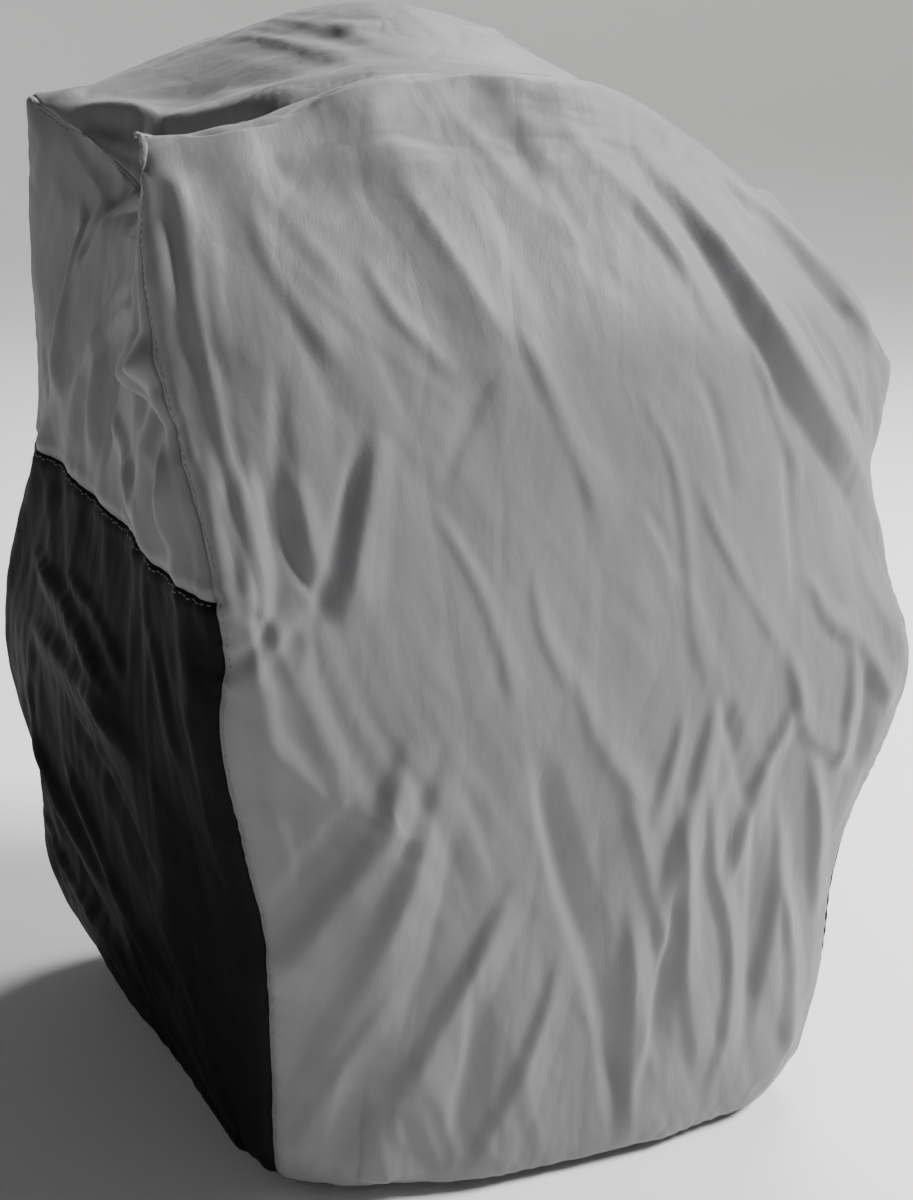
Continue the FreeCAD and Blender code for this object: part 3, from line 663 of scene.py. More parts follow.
# Boxes that hold what is under the cover, with the room that its moving parts need: low and high corners.
UNDER_COVER = [
    ((-.146, -.100, 0), (.146, .128, .428)), ((-.144, -.098, .42), (.144, .126, .4585)),
    ((-.106, -.157, .012), (.106, -.09, .258)), ((-.172, -.069, .104), (.172, .099, .242)),
    ((-.098, .12, .09), (.098, .150, .382)), ((-.156, -.052, .278), (.156, .012, .326)),
    ((-.080, .034, .45), (.080, .076, .467)), ((-.069, .036, .46), (.069, .074, .500)),
    ((-.062, .034, .49), (.062, .076, .518)), ((-.046, .032, .50), (.046, .078, .5285)),
    ((-.135, -.106, .026), (.135, -.09, .082)), ((-.135, .12, .026), (.135, .136, .082)),
    ((-.030, -.118, .385), (.030, -.09, .452)),
]


def clear_of_bag(data):
    """Pushes the cloth out of the boxes, then eases the places round the ones that moved."""
    co = places(data)
    pushed = np.zeros(len(co), bool)
    for low, high in UNDER_COVER:
        low, high = np.array(low), np.array(high)
        inside = ((co > low) & (co < high)).all(1)
        if not inside.any():
            continue
        p = co[inside]
        ways = np.stack([p[:, 0] - low[0], high[0] - p[:, 0], p[:, 1] - low[1], high[1] - p[:, 1],
                         (high[2] - p[:, 2])], 1)
        way = ways.argmin(1)
        far = ways[np.arange(len(p)), way]
        for k, (axis, sign) in enumerate(((0, -1), (0, 1), (1, -1), (1, 1), (2, 1))):
            chosen = way == k
            p[chosen, axis] += sign * far[chosen]
        co[inside] = p
        pushed |= inside
    edges = np.array([tuple(e.vertices) for e in data.edges])
    soft = pushed.astype(float)
    for _ in range(6):
        spread = soft.copy()
        np.maximum.at(spread, edges[:, 0], soft[edges[:, 1]] * .8)
        np.maximum.at(spread, edges[:, 1], soft[edges[:, 0]] * .8)
        soft = spread
    put(data, co)
    soften(data, soft, 4)


# ---- stitches -----------------------------------------------------------------------------------
STITCH_PITCH = .0034
STITCH = dict(length=.0024, width=.00030, height=.00020)


def stitch_mesh(name, places_, ways, ups, size=STITCH):
    """One small rounded bead of thread at each place, along its way and standing on its up side."""
    verts, faces = [], []
    rings = ((-.5, .35), (-.28, 1), (.28, 1), (.5, .35))
    for p, way, up in zip(places_, ways, ups):
        p, way, up = (np.array(v, float) for v in (p, way, up))
        way /= np.linalg.norm(way) + 1e-12
        side = np.cross(up, way)
        side /= np.linalg.norm(side) + 1e-12
        first = len(verts)
        for t, fat in rings:
            for a in range(5):
                angle = 2 * math.pi * a / 5
                verts.append(p + way * t * size["length"] + side * math.cos(angle) * size["width"] * fat
                             + up * (math.sin(angle) * size["height"] * fat + size["height"] * .4))
        for r in range(3):
            for a in range(5):
                b = (a + 1) % 5
                ring, after = first + 5 * r, first + 5 * r + 5
                faces.append((ring + a, ring + b, after + b, after + a))
        faces.append(tuple(first + a for a in reversed(range(5))))
        faces.append(tuple(first + 15 + a for a in range(5)))
    return mesh_object(name, verts, faces)


def spaced(points, pitch):
    """Places at an even pitch along a line, and the way the line runs at each."""
    line = np.array(points, float)
    length = np.concatenate([[0], np.cumsum(np.linalg.norm(np.diff(line, axis=0), axis=1))])
    at = np.arange(pitch, length[-1] - pitch / 2, pitch)
    here = np.stack([np.interp(at, length, line[:, k]) for k in range(3)], 1)
    ahead = np.stack([np.interp(at + pitch * .4, length, line[:, k]) for k in range(3)], 1)
    return here, ahead - here


# ---- materials ----------------------------------------------------------------------------------
class Look:
    """A material under construction."""

    def __init__(self, name, colour, roughness=.6, metallic=0.0, **sockets):
        self.mat = bpy.data.materials.new(name)
        self.mat.use_nodes = True
        self.tree = self.mat.node_tree
        self.shader = self.tree.nodes["Principled BSDF"]
        self.shader.inputs["Base Color"].default_value = (*colour, 1)
        self.shader.inputs["Roughness"].default_value = roughness
        self.shader.inputs["Metallic"].default_value = metallic
        for key, value in sockets.items():
            self.shader.inputs[key.replace("_", " ")].default_value = value
        self.colour = colour
        self.roughness = roughness
        self.height = None
        self.where = self.node("ShaderNodeTexCoord").outputs["Object"]

    def node(self, kind, links=None, **settings):
        made = self.tree.nodes.new(kind)
        for key, value in settings.items():
            if hasattr(made, key):
                setattr(made, key, value)
            else:
                made.inputs[key.replace("_", " ")].default_value = value
        for key, source in (links or {}).items():
            self.tree.links.new(source, made.inputs[key])
        return made

    def math(self, operation, a, b=None, c=None):
        made = self.tree.nodes.new("ShaderNodeMath")
        made.operation = operation
        for socket, value in zip(made.inputs, (a, b, c)):
            if value is None:
                continue
            if isinstance(value, (int, float)):
                socket.default_value = value
            else:
                self.tree.links.new(value, socket)
        return made.outputs[0]

    def moved(self, scale=(1, 1, 1), turn=(0, 0, 0), bend=0.0, bend_scale=10):
        """Object places, stretched and turned, and bent a little by noise."""
        where = self.where
        if bend:
            cloud = self.node("ShaderNodeTexNoise", {"Vector": where}, Scale=bend_scale, Detail=2.0)
            shift = self.node("ShaderNodeVectorMath", {0: cloud.outputs["Color"]}, operation="SUBTRACT")
            shift.inputs[1].default_value = (.5, .5, .5)
            scaled = self.node("ShaderNodeVectorMath", {0: shift.outputs[0]}, operation="SCALE")
            scaled.inputs["Scale"].default_value = bend
            bent = self.node("ShaderNodeVectorMath", {0: where, 1: scaled.outputs[0]}, operation="ADD")
            where = bent.outputs[0]
        made = self.node("ShaderNodeMapping", {"Vector": where})
        made.inputs["Rotation"].default_value = turn
        made.inputs["Scale"].default_value = scale
        return made.outputs[0]

    def noise(self, scale, detail=3.0, where=None, rough=.5):
        made = self.node("ShaderNodeTexNoise", {"Vector": where or self.where}, Scale=scale, Detail=detail)
        made.inputs["Roughness"].default_value = rough
        return made.outputs["Fac"]

    def bump(self, height, depth, strength=1.0):
        """Adds height (0 to 1) as relief of that depth in metres."""
        made = self.node("ShaderNodeBump", {"Height": height}, Strength=strength, Distance=depth)
        if self.height:
            self.tree.links.new(self.height, made.inputs["Normal"])
        self.height = made.outputs["Normal"]
        self.tree.links.new(self.height, self.shader.inputs["Normal"])

    def tint(self, factor, dark, light, low=.3, high=.7):
        ramp = self.node("ShaderNodeValToRGB", {"Fac": factor})
        ramp.color_ramp.elements[0].position = low
        ramp.color_ramp.elements[1].position = high
        ramp.color_ramp.elements[0].color = (*[c * dark for c in self.colour], 1)
        ramp.color_ramp.elements[1].color = (*[c * light for c in self.colour], 1)
        self.tree.links.new(ramp.outputs["Color"], self.shader.inputs["Base Color"])

    def rough(self, factor, low, high):
        spread = self.node("ShaderNodeMapRange", {"Value": factor})
        spread.inputs["To Min"].default_value = low
        spread.inputs["To Max"].default_value = high
        self.tree.links.new(spread.outputs["Result"], self.shader.inputs["Roughness"])


def weave_height(look, pitch):
    """Crossed threads of that pitch, on surfaces that face any way."""
    k = 2 * math.pi / pitch
    xyz = look.node("ShaderNodeSeparateXYZ", {0: look.where})
    x, y, z = xyz.outputs
    across = look.math("ADD", x, y)
    warp = look.math("SINE", look.math("MULTIPLY", across, k))
    slant = look.math("MULTIPLY", look.math("SUBTRACT", x, y), .5)
    weft = look.math("SINE", look.math("MULTIPLY", look.math("ADD", z, slant), k))
    both = look.math("MULTIPLY", warp, weft)
    return look.math("MULTIPLY_ADD", both, .5, .5)


def coated_cloth(name, colour, roughness, crumple=1.0, sheen=.15):
    """Thin woven polyester with a coating: a fine weave, the memory of old folds, and faint wear."""
    look = Look(name, colour, roughness, Sheen_Weight=sheen, Sheen_Roughness=.5, Specular_IOR_Level=.35)
    drawn = look.moved((1.2, 1.2, .30), (.1, .35, .1), .012, 9)
    cells = look.node("ShaderNodeTexVoronoi", {"Vector": drawn}, Scale=26.0)
    cells.feature = "DISTANCE_TO_EDGE"
    ridge = look.node("ShaderNodeMapRange", {"Value": cells.outputs["Distance"]})
    ridge.inputs["From Max"].default_value = .12
    look.bump(ridge.outputs["Result"], .0006 * crumple, .3)
    look.bump(look.noise(38, 5.0, look.moved((1, 1, .5), (.2, .6, .1), .03, 14)), .0026 * crumple, .55)
    look.bump(weave_height(look, .0009), .00005, .5)
    cloudy = look.noise(7, 4.0)
    look.tint(cloudy, .90, 1.10)
    look.rough(look.noise(26, 4.0), roughness - .06, roughness + .08)
    return look.mat


# ---- the room -----------------------------------------------------------------------------------
def make_camera():
    place = Vector((-.426, -.846, .528))
    turn, down, roll = math.radians(27.28), math.radians(16.79), math.radians(2.11)
    ahead = Vector((math.sin(turn) * math.cos(down), math.cos(turn) * math.cos(down), -math.sin(down)))
    right = ahead.cross(Vector((0, 0, 1))).normalized()
    up = right.cross(ahead)
    right, up = right * math.cos(roll) + up * math.sin(roll), up * math.cos(roll) - right * math.sin(roll)
    data = bpy.data.cameras.new("camera")
    data.sensor_width = 36
    data.lens = 57.0
    camera = bpy.data.objects.new("camera", data)
    camera.matrix_world = Matrix.Translation(place) @ Matrix((right, up, -ahead)).transposed().to_4x4()
    bpy.context.scene.collection.objects.link(camera)
    bpy.context.scene.camera = camera


def soft_light(name, place, aim, size, watts, colour=(1, 1, 1)):
    data = bpy.data.lights.new(name, "AREA")
    data.shape = "RECTANGLE"
    data.size, data.size_y = size
    data.energy = watts
    data.color = colour
    light = bpy.data.objects.new(name, data)
    light.location = place
    light.rotation_euler = (Vector(aim) - Vector(place)).to_track_quat("-Z", "Y").to_euler()
    bpy.context.scene.collection.objects.link(light)


def make_room():
    world = bpy.data.worlds.new("studio")
    world.use_nodes = True
    world.node_tree.nodes["Background"].inputs["Color"].default_value = (.95, .97, 1, 1)
    world.node_tree.nodes["Background"].inputs["Strength"].default_value = .045
    bpy.context.scene.world = world
    profile = [(.001, 0), (1.5, 0), (2.6, 0), (3.2, .05), (3.7, .25), (4.1, .7), (4.3, 1.4), (4.4, 2.6),
               (4.4, 4.5)]
    turns = 64
    around = [2 * math.pi * k / turns for k in range(turns)]
    verts = [(r * math.cos(a), r * math.sin(a), z) for r, z in profile for a in around]
    faces = grid_faces(len(profile), turns)
    floor = mesh_object("floor", verts, faces)
    look = Look("floor", (.88, .88, .88), .85)
    height = look.node("ShaderNodeSeparateXYZ", {0: look.where}).outputs[2]
    look.tint(look.math("MULTIPLY", height, .2), 1.0, .2, .24, .44)   # the wall darkens above 1.2 m
    floor.data.materials.append(look.mat)
    soft_light("window", (1.8, -.90, 1.85), (.05, 0, .3), (.8, .8), 162, (1, .985, .96))
    soft_light("overhead", (1.2, 1.0, 2.2), (0, 0, .4), (.9, .9), 60)


make_camera()
make_room()

# ---- the cover ----------------------------------------------------------------------------------
PANELS = ["strip", "left_upper", "left_lower", "right_upper", "right_lower"]
PUCKER_PITCH = .011
# how far from each edge its rounding reaches
EDGE_REACH = {"top_left": .020, "top_right": .018, "front_left": .012, "front_right": .014,
              "back_left": .014, "back_right": .014, "rim_front": .014, "rim_back": .018}


def seam_runs(n_rows, n_cols):
    """The seams as lists of vertex numbers of the skin, with the side that their stitches lie on."""
    nf, ns = COLUMNS[0], COLUMNS[1]
    starts = {"front_left": 0, "front_right": nf, "back_right": nf + ns, "back_left": 2 * nf + ns}
    upper = list(range(HEM_ROW + 1))
    runs = {name: [r * n_cols + c for r in upper] for name, c in starts.items()}
    right = [c for c in range(nf, nf + ns + 1)]
    left = [c % n_cols for c in range(2 * nf + ns, 2 * nf + 2 * ns + 1)]
    runs["top_right"], runs["top_left"] = right, left
    runs["side_right"] = [SEAM_ROW * n_cols + c for c in right]
    runs["side_left"] = [SEAM_ROW * n_cols + c for c in left]
    runs["hem"] = [HEM_ROW * n_cols + c % n_cols for c in range(n_cols + 1)]
    return runs


def rim_runs():
    """The folded edges, with no seam, where the strip turns over the top from the front to the back."""
    nf, ns = COLUMNS[0], COLUMNS[1]
    return {"rim_front": list(range(nf + 1)), "rim_back": list(range(nf + ns, 2 * nf + ns + 1))}


def tree_of(points):
    tree = kdtree.KDTree(len(points))
    for i, p in enumerate(points):
        tree.insert(p, i)
    tree.balance()
    return tree


def seam_relief(data, runs):
    """A groove on each seam, the double cloth beside it, and the pucker that the thread draws in."""
    co, n = places(data), normals(data)
    height = np.zeros(len(co))
    for name, indices in runs.items():
        line, at = smooth_line(co[indices], 4 * len(indices))
        tree = tree_of(line)
        low, high = line.min(0) - .02, line.max(0) + .02
        for i in np.where(((co > low) & (co < high)).all(1))[0]:
            _, k, d = tree.find(co[i])
            if d < .018:
                ear = min(math.dist(co[i], p) for p in RIM_POINTS)
                depth = (.35 if name.startswith("top") else 1) * (.3 + .7 * float(ease(.008, .03, ear)))
                phase = 2 * math.pi * at[k] / PUCKER_PITCH + 3.6 * math.sin(at[k] * 61)
                pucker = .0003 * math.sin(phase) * math.sin(at[k] * 37) * math.exp(-(d / .009) ** 2)
                groove = -.0011 * math.exp(-(d / .0022) ** 2)
                double_cloth = .0006 * math.exp(-((d - .005) / .0035) ** 2)
                height[i] += depth * (groove + double_cloth + pucker)
    put(data, co + n * height[:, None])


def seam_stitches(data, runs):
    """Stitches 2.4 mm to one side of each seam, laid on the cloth."""
    corners = [v.co for v in data.vertices]
    surface = bvhtree.BVHTree.FromPolygons(corners, [tuple(f.vertices) for f in data.polygons])
    co = places(data)
    toward = {"front_left": 1, "front_right": -1, "back_right": 1, "back_left": -1,
              "top_right": -1, "top_left": -1, "side_right": -1, "side_left": -1, "hem": -1}
    kept = {"grey": ([], [], []), "black": ([], [], [])}
    for name, indices in runs.items():
        here, way = spaced(smooth_line(co[indices], 6 * len(indices))[0], STITCH_PITCH)
        for p, w in zip(here, way):
            _, up, _, _ = surface.find_nearest(Vector(p))
            side = -Vector(w).cross(up).normalized() * toward[name]
            spot, up, _, _ = surface.find_nearest(Vector(p) + side * .0026)
            colour = "black" if name == "hem" else "grey"
            for store, value in zip(kept[colour], (spot, w, up)):
                store.append(tuple(value))
    return kept


verts, faces, panel = build_skin()
skin = mesh_object("skin", verts, faces)
skin.data.polygons.foreach_set("material_index", [PANELS.index(p) for p in panel])
for p in PANELS:
    skin.data.materials.append(bpy.data.materials.new("mark_" + p))
simulate(skin)
finer = skin.modifiers.new("finer", "SUBSURF")
finer.levels = finer.render_levels = 1
applied(skin)
runs = seam_runs(sum(ROWS_BETWEEN) + 1, sum(COLUMNS))
between_the_ears(skin.data)
round_edges(skin.data, {**runs, **rim_runs()}, 14)
press_folds(skin.data)
round_edges(skin.data, {**runs, **rim_runs()}, 3)
clear_of_bag(skin.data)
seam_relief(skin.data, runs)

grey = coated_cloth("cover_grey", (.130, .133, .140), .56)
black = coated_cloth("cover_black", (.0045, .0045, .0052), .60, 1.0, 0.0)
black.node_tree.nodes["Principled BSDF"].inputs["Specular IOR Level"].default_value = .06


def panel_object(name, mark, mat):
    """One sewn panel, cut from the skin, with the thickness of its cloth."""
    data = skin.data
    chosen = [f for f in data.polygons if f.material_index == PANELS.index(mark)]
    used = sorted({i for f in chosen for i in f.vertices})
    new = {old: k for k, old in enumerate(used)}
    faces = [[new[i] for i in f.vertices] for f in chosen]
    obj = mesh_object(name, [data.vertices[i].co for i in used], faces)
    obj.data.materials.append(mat)
    thick = obj.modifiers.new("thickness", "SOLIDIFY")
    thick.thickness = .0007
    thick.offset = -1
    applied(obj)
    obj.data.polygons.foreach_set("use_smooth", [True] * len(obj.data.polygons))
    return obj


def belongs(piece, body, slot, *nodes):
    """Gives a piece its body, and hides the CAD nodes that it stands for."""
    if nodes:
        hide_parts(*nodes)
    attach(piece, body)
    return piece


def belongs_to_cover(piece, slot, *nodes):
    """The same on the cover, and gives the piece a mesh of its own."""
    belongs(piece, "rain_cover", slot, *nodes)
    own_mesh(piece)
    return piece


# what each panel stands for, and the size of the cloth it is cut from: width, length and area
CUTS = {
    "strip": (("cover_top_panel", "cover_front_panel", "cover_rear_panel"), grey, "cover_grey", (.42, 1.34),
              .46),
    "left_upper": (("cover_left_upper_panel",), grey, "cover_grey", (.34, .22), .052),
    "left_lower": (("cover_left_lower_panel",), black, "cover_black", (.36, .32), .098),
    "right_upper": (("cover_right_upper_panel",), grey, "cover_grey", (.30, .16), .026),
    "right_lower": (("cover_right_lower_panel",), black, "cover_black", (.36, .32), .098),
}
stitches = seam_stitches(skin.data, runs)
thread = {}
for colour, mat in (("grey", (.115, .118, .124)), ("black", (.012, .012, .013))):
    look = Look("thread_" + colour, mat, .6)
    wave = look.node("ShaderNodeTexWave", {"Vector": look.where}, Scale=900.0, Distortion=1.0)
    look.bump(wave.outputs["Fac"], .0001, .6)
    look.tint(look.noise(60), .85, 1.1)
    thread[colour] = look.mat
for mark, (nodes, mat, slot, flat, area) in CUTS.items():
    piece = panel_object("cover_" + mark + "_cloth", mark, mat)
    belongs_to_cover(piece, slot, *nodes)
for colour, (where, ways, ups) in stitches.items():
    piece = stitch_mesh("cover_stitching_" + colour, where, ways, ups)
    piece.data.materials.append(thread[colour])
    belongs_to_cover(piece, "cover_" + colour)


def make_hem():
    """The gathered casing: it turns in under the bag from the foot of the panels, round the elastic."""
    lo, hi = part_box("cover_hem_elastic")
    middle = np.array([(lo[0] + hi[0]) / 2, (lo[1] + hi[1]) / 2])
    half = np.array([(hi[0] - lo[0]) / 2 - .002, (hi[1] - lo[1]) / 2 - .002])
    co = places(skin.data)
    foot = smooth_line(co[runs["hem"]], 1200)[0]
    count = 900
    foot = foot[(np.arange(count) * len(foot) / count).astype(int)]
    angle = np.arctan2((foot[:, 1] - middle[1]) / half[1], (foot[:, 0] - middle[0]) / half[0])
    corner = 7.0   # a rounded rectangle
    reach = 1 / ((np.abs(np.cos(angle)) ** corner + np.abs(np.sin(angle)) ** corner) ** (1 / corner))
    ring = np.stack([middle[0] + half[0] * reach * np.cos(angle),
                     middle[1] + half[1] * reach * np.sin(angle)], 1)
    out = foot[:, :2] - ring
    out /= np.linalg.norm(out, axis=1)[:, None]
    s = np.concatenate([[0], np.cumsum(np.linalg.norm(np.diff(ring, axis=0), axis=1))])
    gather = np.sin(2 * math.pi * s / .0115 + 1.7 * np.sin(s * 47)) * (.7 + .3 * np.sin(s * 31))
    # across the hem: share of the way in from the foot, and height, then the roll round the elastic
    rows = []
    for t in np.linspace(0, 1, 9)[:-1]:
        place = foot[:, :2] * (1 - t) + (ring + out * .0036) * t
        lift = (foot[:, 2] * (1 - ease(0, .35, t)) + .0026 * ease(0, .35, t)
                + .0013 * gather * math.sin(math.pi * min(1, t * 1.1)) * ease(.1, .5, t))
        rows.append(np.column_stack([place, np.maximum(lift, .0012)]))
    for k in range(13):
        turn = 2 * math.pi * k / 14
        fat = .0032 + .0004 * gather
        place = ring + out * (np.cos(turn) * fat)[:, None]
        rows.append(np.column_stack([place, .0044 + np.sin(turn + math.pi) * fat * .95]))
    rows = np.array(rows)
    verts = rows.reshape(-1, 3)
    faces = grid_faces(len(rows), count)
    piece = mesh_object("cover_hem_cloth", verts, faces)
    piece.data.materials.append(coated_cloth("hem_tape", (.008, .008, .009), .6, .5, 0.0))
    thick = piece.modifiers.new("thickness", "SOLIDIFY")
    thick.thickness = .0006
    thick.offset = 0
    applied(piece)
    belongs_to_cover(piece, "hem_tape", "cover_hem_casing")


make_hem()
bpy.data.objects.remove(skin)

# ---- the bag under the cover ---------------------------------------------------------------------
def node_copy(node, name):
    """A new piece with the shape of a CAD node, to be worked on."""
    obj = bpy.data.objects.new(name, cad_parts[node].data.copy())
    bpy.context.scene.collection.objects.link(obj)
    obj.data.materials.clear()
    obj.data.polygons.foreach_set("use_smooth", [True] * len(obj.data.polygons))
    return obj


def ripple(co, seed, size):
    """Soft unevenness, from -1 to 1, with no direction of its own."""
    pick = np.random.RandomState(seed)
    total = np.zeros(len(co))
    for _ in range(9):
        way = pick.normal(size=3)
        way /= np.linalg.norm(way)
        total += np.sin(co @ way * 2 * math.pi / (size * pick.uniform(.6, 1.6)) + pick.uniform(0, 6.28))
    return total / 4.5


def soft_shape(node, name, voxel, out=(0, 0, 0), recede=.0, channels=(), uneven=.0006, size=.05, seed=1,
               ease_by=6):
    """A sewn, padded form of a CAD solid: its outer face falls away to its edges and stitched channels."""
    obj = node_copy(node, name)
    lo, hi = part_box(node)
    even = obj.modifiers.new("even", "REMESH")
    even.mode = "VOXEL"
    even.voxel_size = voxel
    soft = obj.modifiers.new("soft", "SMOOTH")
    soft.factor, soft.iterations = .5, ease_by
    applied(obj)
    co, n = places(obj.data), normals(obj.data)
    out = np.array(out, float)
    shift = ripple(co, seed, size) * uneven
    if out.any():
        facing = ease(.2, .8, n @ out)
        axes = [k for k in range(3) if not out[k]]
        edge = np.ones(len(co))
        for k in axes:
            t = np.clip((co[:, k] - lo[k]) / (hi[k] - lo[k]), 0, 1)
            reach = .022 / (hi[k] - lo[k])
            edge = np.minimum(edge, ease(0, reach, t) * ease(0, reach, 1 - t))
        shift = shift * .6 - np.abs(shift) * .4 - recede * (1 - edge)
        for axis, at in channels:
            shift -= .0014 * np.exp(-((co[:, axis] - at) / .0022) ** 2)
        shift = shift * facing
    put(obj.data, co + n * shift[:, None])
    obj.data.polygons.foreach_set("use_smooth", [True] * len(obj.data.polygons))
    return obj


def finish_piece(obj, mat, body, slot, node):
    """Gives a reworked node its look and its place."""
    obj.data.materials.clear()
    obj.data.materials.append(mat)
    belongs(obj, body, slot, node)
    return obj


def cordura(name, colour, pitch=.0014):
    """Heavy nylon: a visible basket weave, slightly worn and dusty."""
    look = Look(name, colour, .72, Specular_IOR_Level=.3)
    look.bump(weave_height(look, pitch), .00018, .8)
    look.bump(look.noise(30, 5), .0012, .35)
    look.tint(look.noise(9, 5), .75, 1.35)
    look.rough(look.noise(40, 3), .62, .82)
    return look.mat


def ribbed(name, colour, pitch, axis, roughness=.6):
    """Webbing or tape: fine ribs across its run."""
    look = Look(name, colour, roughness, Specular_IOR_Level=.35)
    parts = look.node("ShaderNodeSeparateXYZ", {0: look.where}).outputs
    if axis == "ring":
        run = look.math("ADD", parts[0], parts[1])
    else:
        run = parts["XYZ".index(axis)]
    rib = look.math("SINE", look.math("MULTIPLY", run, 2 * math.pi / pitch))
    look.bump(look.math("MULTIPLY_ADD", rib, .5, .5), .00022, .8)
    look.bump(look.noise(400, 2), .0001, .5)
    look.tint(look.noise(25, 4), .8, 1.25)
    return look.mat


def moulded(name, colour, roughness, grain=900, metallic=0.0, wear=1.5):
    """Moulded plastic, rubber or cast metal with a fine grain and rubbed places."""
    look = Look(name, colour, roughness, metallic)
    look.bump(look.noise(grain, 3), .00008, .5)
    look.bump(look.noise(60, 3), .0003, .2)
    look.tint(look.noise(45, 6), .9, wear, .45, .75)
    look.rough(look.noise(80, 4), roughness - .1, roughness + .12)
    return look.mat


nylon = cordura("bag_fabric", (.018, .019, .022))
tape = ribbed("zip_tape", (.014, .014, .016), .0009, "ring")
binding = ribbed("piping", (.03, .03, .034), .0011, "Z")
web_y = ribbed("webbing", (.016, .016, .018), .0013, "Y")
web_x = ribbed("webbing_across", (.016, .016, .018), .0013, "X")
teeth_mat = moulded("zip_teeth", (.02, .02, .022), .32)
plastic = moulded("buckle_plastic", (.014, .014, .015), .42)
rubber = moulded("grip_rubber", (.02, .02, .02), .75, 500)
handle_mat = moulded("handle_rubber", (.017, .017, .018), .62, 700)
steel = moulded("ring_steel", (.55, .55, .56), .28, 600, 1.0, 1.1)
slider_mat = moulded("slider_metal", (.30, .30, .32), .30, 600, 1.0, 1.2)
stiff = moulded("board", (.035, .035, .035), .6, 300)


def netting(name, colour):
    """Mesh cloth: small cells with painted shade in their middles, which stands in for the holes."""
    look = Look(name, colour, .6)
    cells = look.node("ShaderNodeTexVoronoi", {"Vector": look.moved()}, Scale=420.0)
    look.bump(cells.outputs["Distance"], .0005, .9)
    # painted shade: each cell darkens towards its middle, where the bump sinks, so that it reads as a hole
    look.tint(cells.outputs["Distance"], .35, 1.6, .25, .55)
    return look.mat


mesh_cloth = netting("mesh", (.022, .022, .025))

WALLS = [
    ("front_wall", "bag_front_wall", (0, -1, 0), [(2, .285), (2, .345)], 11),
    ("back_wall", "bag_back_wall", (0, 1, 0), [(2, .060)], 12),
    ("left_wall", "bag_left_wall", (-1, 0, 0), [(2, .262), (2, .345)], 13),
    ("right_wall", "bag_right_wall", (1, 0, 0), [(2, .262), (2, .345)], 14),
]
for node, name, out, channels, seed in WALLS:
    wall = soft_shape(node, name, .0030, out, .0022, channels, .0005, .06, seed)
    finish_piece(wall, nylon, "bag", "bag_fabric", node)
finish_piece(soft_shape("base_panel", "bag_base", .0022, uneven=.0003, seed=15, ease_by=3), nylon, "bag",
             "bag_fabric", "base_panel")
finish_piece(soft_shape("lid_panel", "lid_padded_panel", .0036, (0, 0, 1), .0035, [(1, -.060), (1, .092)],
                        .0006, .07, 16), nylon, "lid", "bag_fabric", "lid_panel")
finish_piece(soft_shape("front_pocket_gusset", "front_pocket_shell", .0030, uneven=.0006, seed=17), nylon,
             "bag", "bag_fabric", "front_pocket_gusset")
finish_piece(soft_shape("front_pocket_face", "front_pocket_front", .0018, (0, -1, 0), .0012, [(2, .195)],
                        .0003, .04, 18, 3), nylon, "bag", "bag_fabric", "front_pocket_face")
for side, sign in (("left", -1), ("right", 1)):
    finish_piece(soft_shape(side + "_pocket_gusset", side + "_pocket_mesh", .0030, uneven=.0006, seed=19),
                 mesh_cloth, "bag", "mesh", side + "_pocket_gusset")
    finish_piece(soft_shape(side + "_pocket_face", side + "_pocket_front", .0014, (sign, 0, 0), .0007,
                            [(2, .128), (2, .222)], .0002, .04, 20, 3), nylon, "bag", "bag_fabric",
                 side + "_pocket_face")
finish_piece(soft_shape("sleeve_gusset", "sleeve_shell", .0030, uneven=.0004, seed=21), nylon, "bag",
             "bag_fabric", "sleeve_gusset")
finish_piece(soft_shape("sleeve_panel", "sleeve_back", .0018, (0, 1, 0), .0012, [(2, .116), (2, .356)],
                        .0004, .05, 22, 3), nylon, "bag", "bag_fabric", "sleeve_panel")
finish_piece(soft_shape("handle_grip", "handle_sleeve", .0011, uneven=.0, seed=23, ease_by=4), handle_mat,
             "handle", "handle_rubber", "handle_grip")


def rounded_strip(node, name, mat, body, slot, round_by=.0005):
    """A CAD strip of webbing, cord or tape with its edges rounded."""
    obj = node_copy(node, name)
    edge = obj.modifiers.new("edge", "BEVEL")
    edge.width, edge.segments, edge.limit_method = round_by, 2, "ANGLE"
    applied(obj)
    obj.data.polygons.foreach_set("use_smooth", [True] * len(obj.data.polygons))
    obj.data.set_sharp_from_angle(angle=math.radians(40))
    return finish_piece(obj, mat, body, slot, node)


for side in ("left", "right"):
    for end in ("front", "rear"):
        strap = side + "_strap_" + end
        rounded_strip(strap, strap + "_webbing", web_y, "bag", "webbing", .0004)
rounded_strip("corner_piping", "corner_piping_cord", binding, "bag", "piping", .0003)
rounded_strip("d_ring_loops", "d_ring_webbing", web_x, "bag", "webbing", .0003)
rounded_strip("zip_lower_tape", "zip_tape_below", tape, "bag", "zip_tape", .0002)
rounded_strip("zip_upper_tape", "zip_tape_above", tape, "lid", "zip_tape", .0002)
rounded_strip("front_pocket_zip", "pocket_zip_tape", tape, "bag", "zip_tape", .0003)
rounded_strip("lid_mesh_pocket", "lid_pocket_net", mesh_cloth, "lid", "mesh", .0004)

hinge = node_copy("lid_hinge_binding", "lid_hinge_cloth")
cut = hinge.modifiers.new("cut", "REMESH")
cut.mode, cut.voxel_size = "VOXEL", .0007
applied(hinge)
hinge.data.polygons.foreach_set("use_smooth", [True] * len(hinge.data.polygons))
finish_piece(hinge, web_x, "bag", "webbing", "lid_hinge_binding")


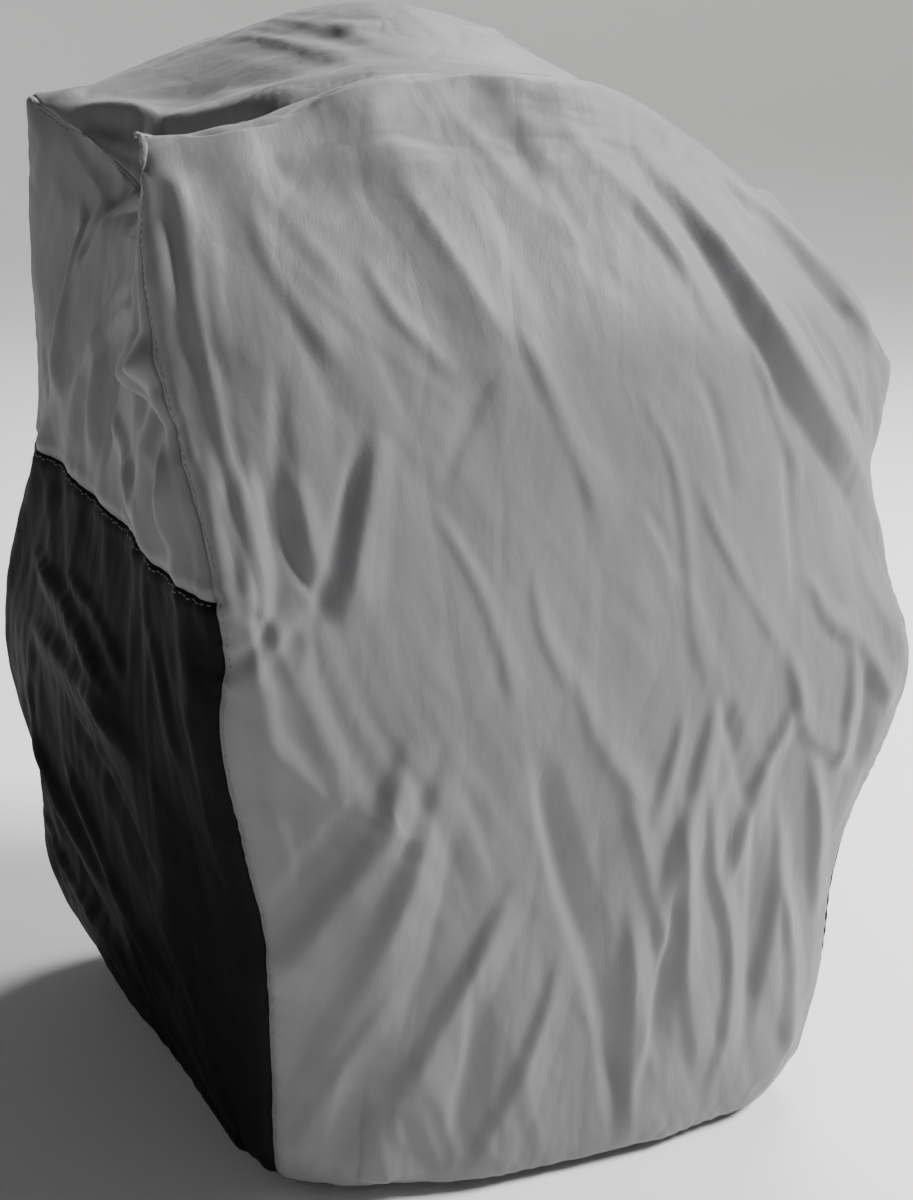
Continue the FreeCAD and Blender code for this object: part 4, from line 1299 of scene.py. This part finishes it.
def zip_path(node, z):
    """The line of the zip round the front and sides, in the middle of its teeth."""
    lo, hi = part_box(node)
    round_by = .0125
    x0, x1, y0, y1 = lo[0] + .0012, hi[0] - .0012, lo[1] + .0012, hi[1]
    bend = [(x0 + round_by * (1 - math.cos(a)), y0 + round_by * (1 - math.sin(a)), z)
            for a in np.linspace(0, math.pi / 2, 12)]
    other = [(x0 + x1 - x, y, z) for x, y, z in reversed(bend)]
    return [(x0, y1, z), *bend, *other, (x1, y1, z)]


def zip_teeth(name, line, up, body, *nodes):
    """One side of a moulded zip: a row of waisted teeth."""
    here, way = spaced(line, .0022)
    size = dict(length=.0015, width=.0011, height=.0010)
    row = stitch_mesh(name, here, way, [up] * len(here), size)
    row.data.materials.append(teeth_mat)
    return belongs(row, body, "zip_teeth", *nodes)


def make_zips():
    for node, name, drop, body in (("zip_lower_teeth", "zip_teeth_below", .0002, "bag"),
                                   ("zip_upper_teeth", "zip_teeth_above", .0004, "lid")):
        lo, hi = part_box(node)
        zip_teeth(name, zip_path(node, (lo[2] + hi[2]) / 2 - drop), (0, 0, 1), body, node)
    lo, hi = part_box("front_pocket_zip")
    middle, face = (lo[2] + hi[2]) / 2, lo[1] + .0001
    zip_teeth("pocket_zip_teeth", [(lo[0] + .003, face, middle), (hi[0] - .003, face, middle)], (0, -1, 0),
              "bag")


make_zips()

# the elastic moves aside with the cover, so it is a piece of its own
elastic = node_copy("cover_hem_elastic", "cover_elastic_cord")
elastic.data.materials.append(ribbed("elastic", (.02, .02, .022), .0016, "ring"))
belongs_to_cover(elastic, "elastic", "cover_hem_elastic")

# the hard parts keep their CAD shape and get their finish here
FINISH = {
    rubber: ["base_grip_pads"],
    stiff: ["base_board", "back_board", "lid_board"],
    steel: [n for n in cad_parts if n.startswith("d_ring_") and n != "d_ring_loops"],
    slider_mat: ["zip_slider_left", "zip_slider_right", "pocket_zip_slider", "zip_pull_left",
                 "zip_pull_right", "pocket_zip_pull"],
    plastic: ["left_buckle_socket", "right_buckle_socket", "left_buckle_plug", "right_buckle_plug",
              "handle_anchors"],
    handle_mat: ["handle_band"],
}
for mat, names in FINISH.items():
    for name in names:
        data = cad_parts[name].data
        data.materials.clear()
        data.materials.append(mat)


def frame_of_stitches(name, corners, up, body, slot="bag_fabric"):
    """A rectangle of stitches on a flat face."""
    loop = [*corners, corners[0]]
    here, way = [], []
    for a, b in zip(loop[:-1], loop[1:]):
        p, w = spaced([a, b], STITCH_PITCH)
        here += list(p)
        way += list(w)
    piece = stitch_mesh(name, here, way, [up] * len(here))
    piece.data.materials.append(thread["grey"])
    return belongs(piece, body, slot)


def face_corners(node, axis, at, inset, top=None):
    """The corners of a flat face that looks along axis, inset from its edges, or as high as top."""
    lo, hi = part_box(node)
    a, b = [k for k in range(3) if k != axis]
    made = []
    for u, v in ((0, 0), (1, 0), (1, 1), (0, 1)):
        p = [0, 0, 0]
        p[axis] = at
        p[a] = hi[a] - inset if u else lo[a] + inset
        p[b] = (top or hi[b] - inset) if v else lo[b] + inset
        made.append(tuple(p))
    return made


frame_of_stitches("front_pocket_stitching", face_corners("front_pocket_face", 1, -.1492, .009, top=.195),
                  (0, -1, 0), "bag")
frame_of_stitches("sleeve_stitching", face_corners("sleeve_panel", 1, .1444, .009), (0, 1, 0), "bag")
for side, sign in (("left", -1), ("right", 1)):
    corners = face_corners(side + "_pocket_face", 0, sign * .1676, .009)
    frame_of_stitches(side + "_pocket_stitching", corners, (sign, 0, 0), "bag")
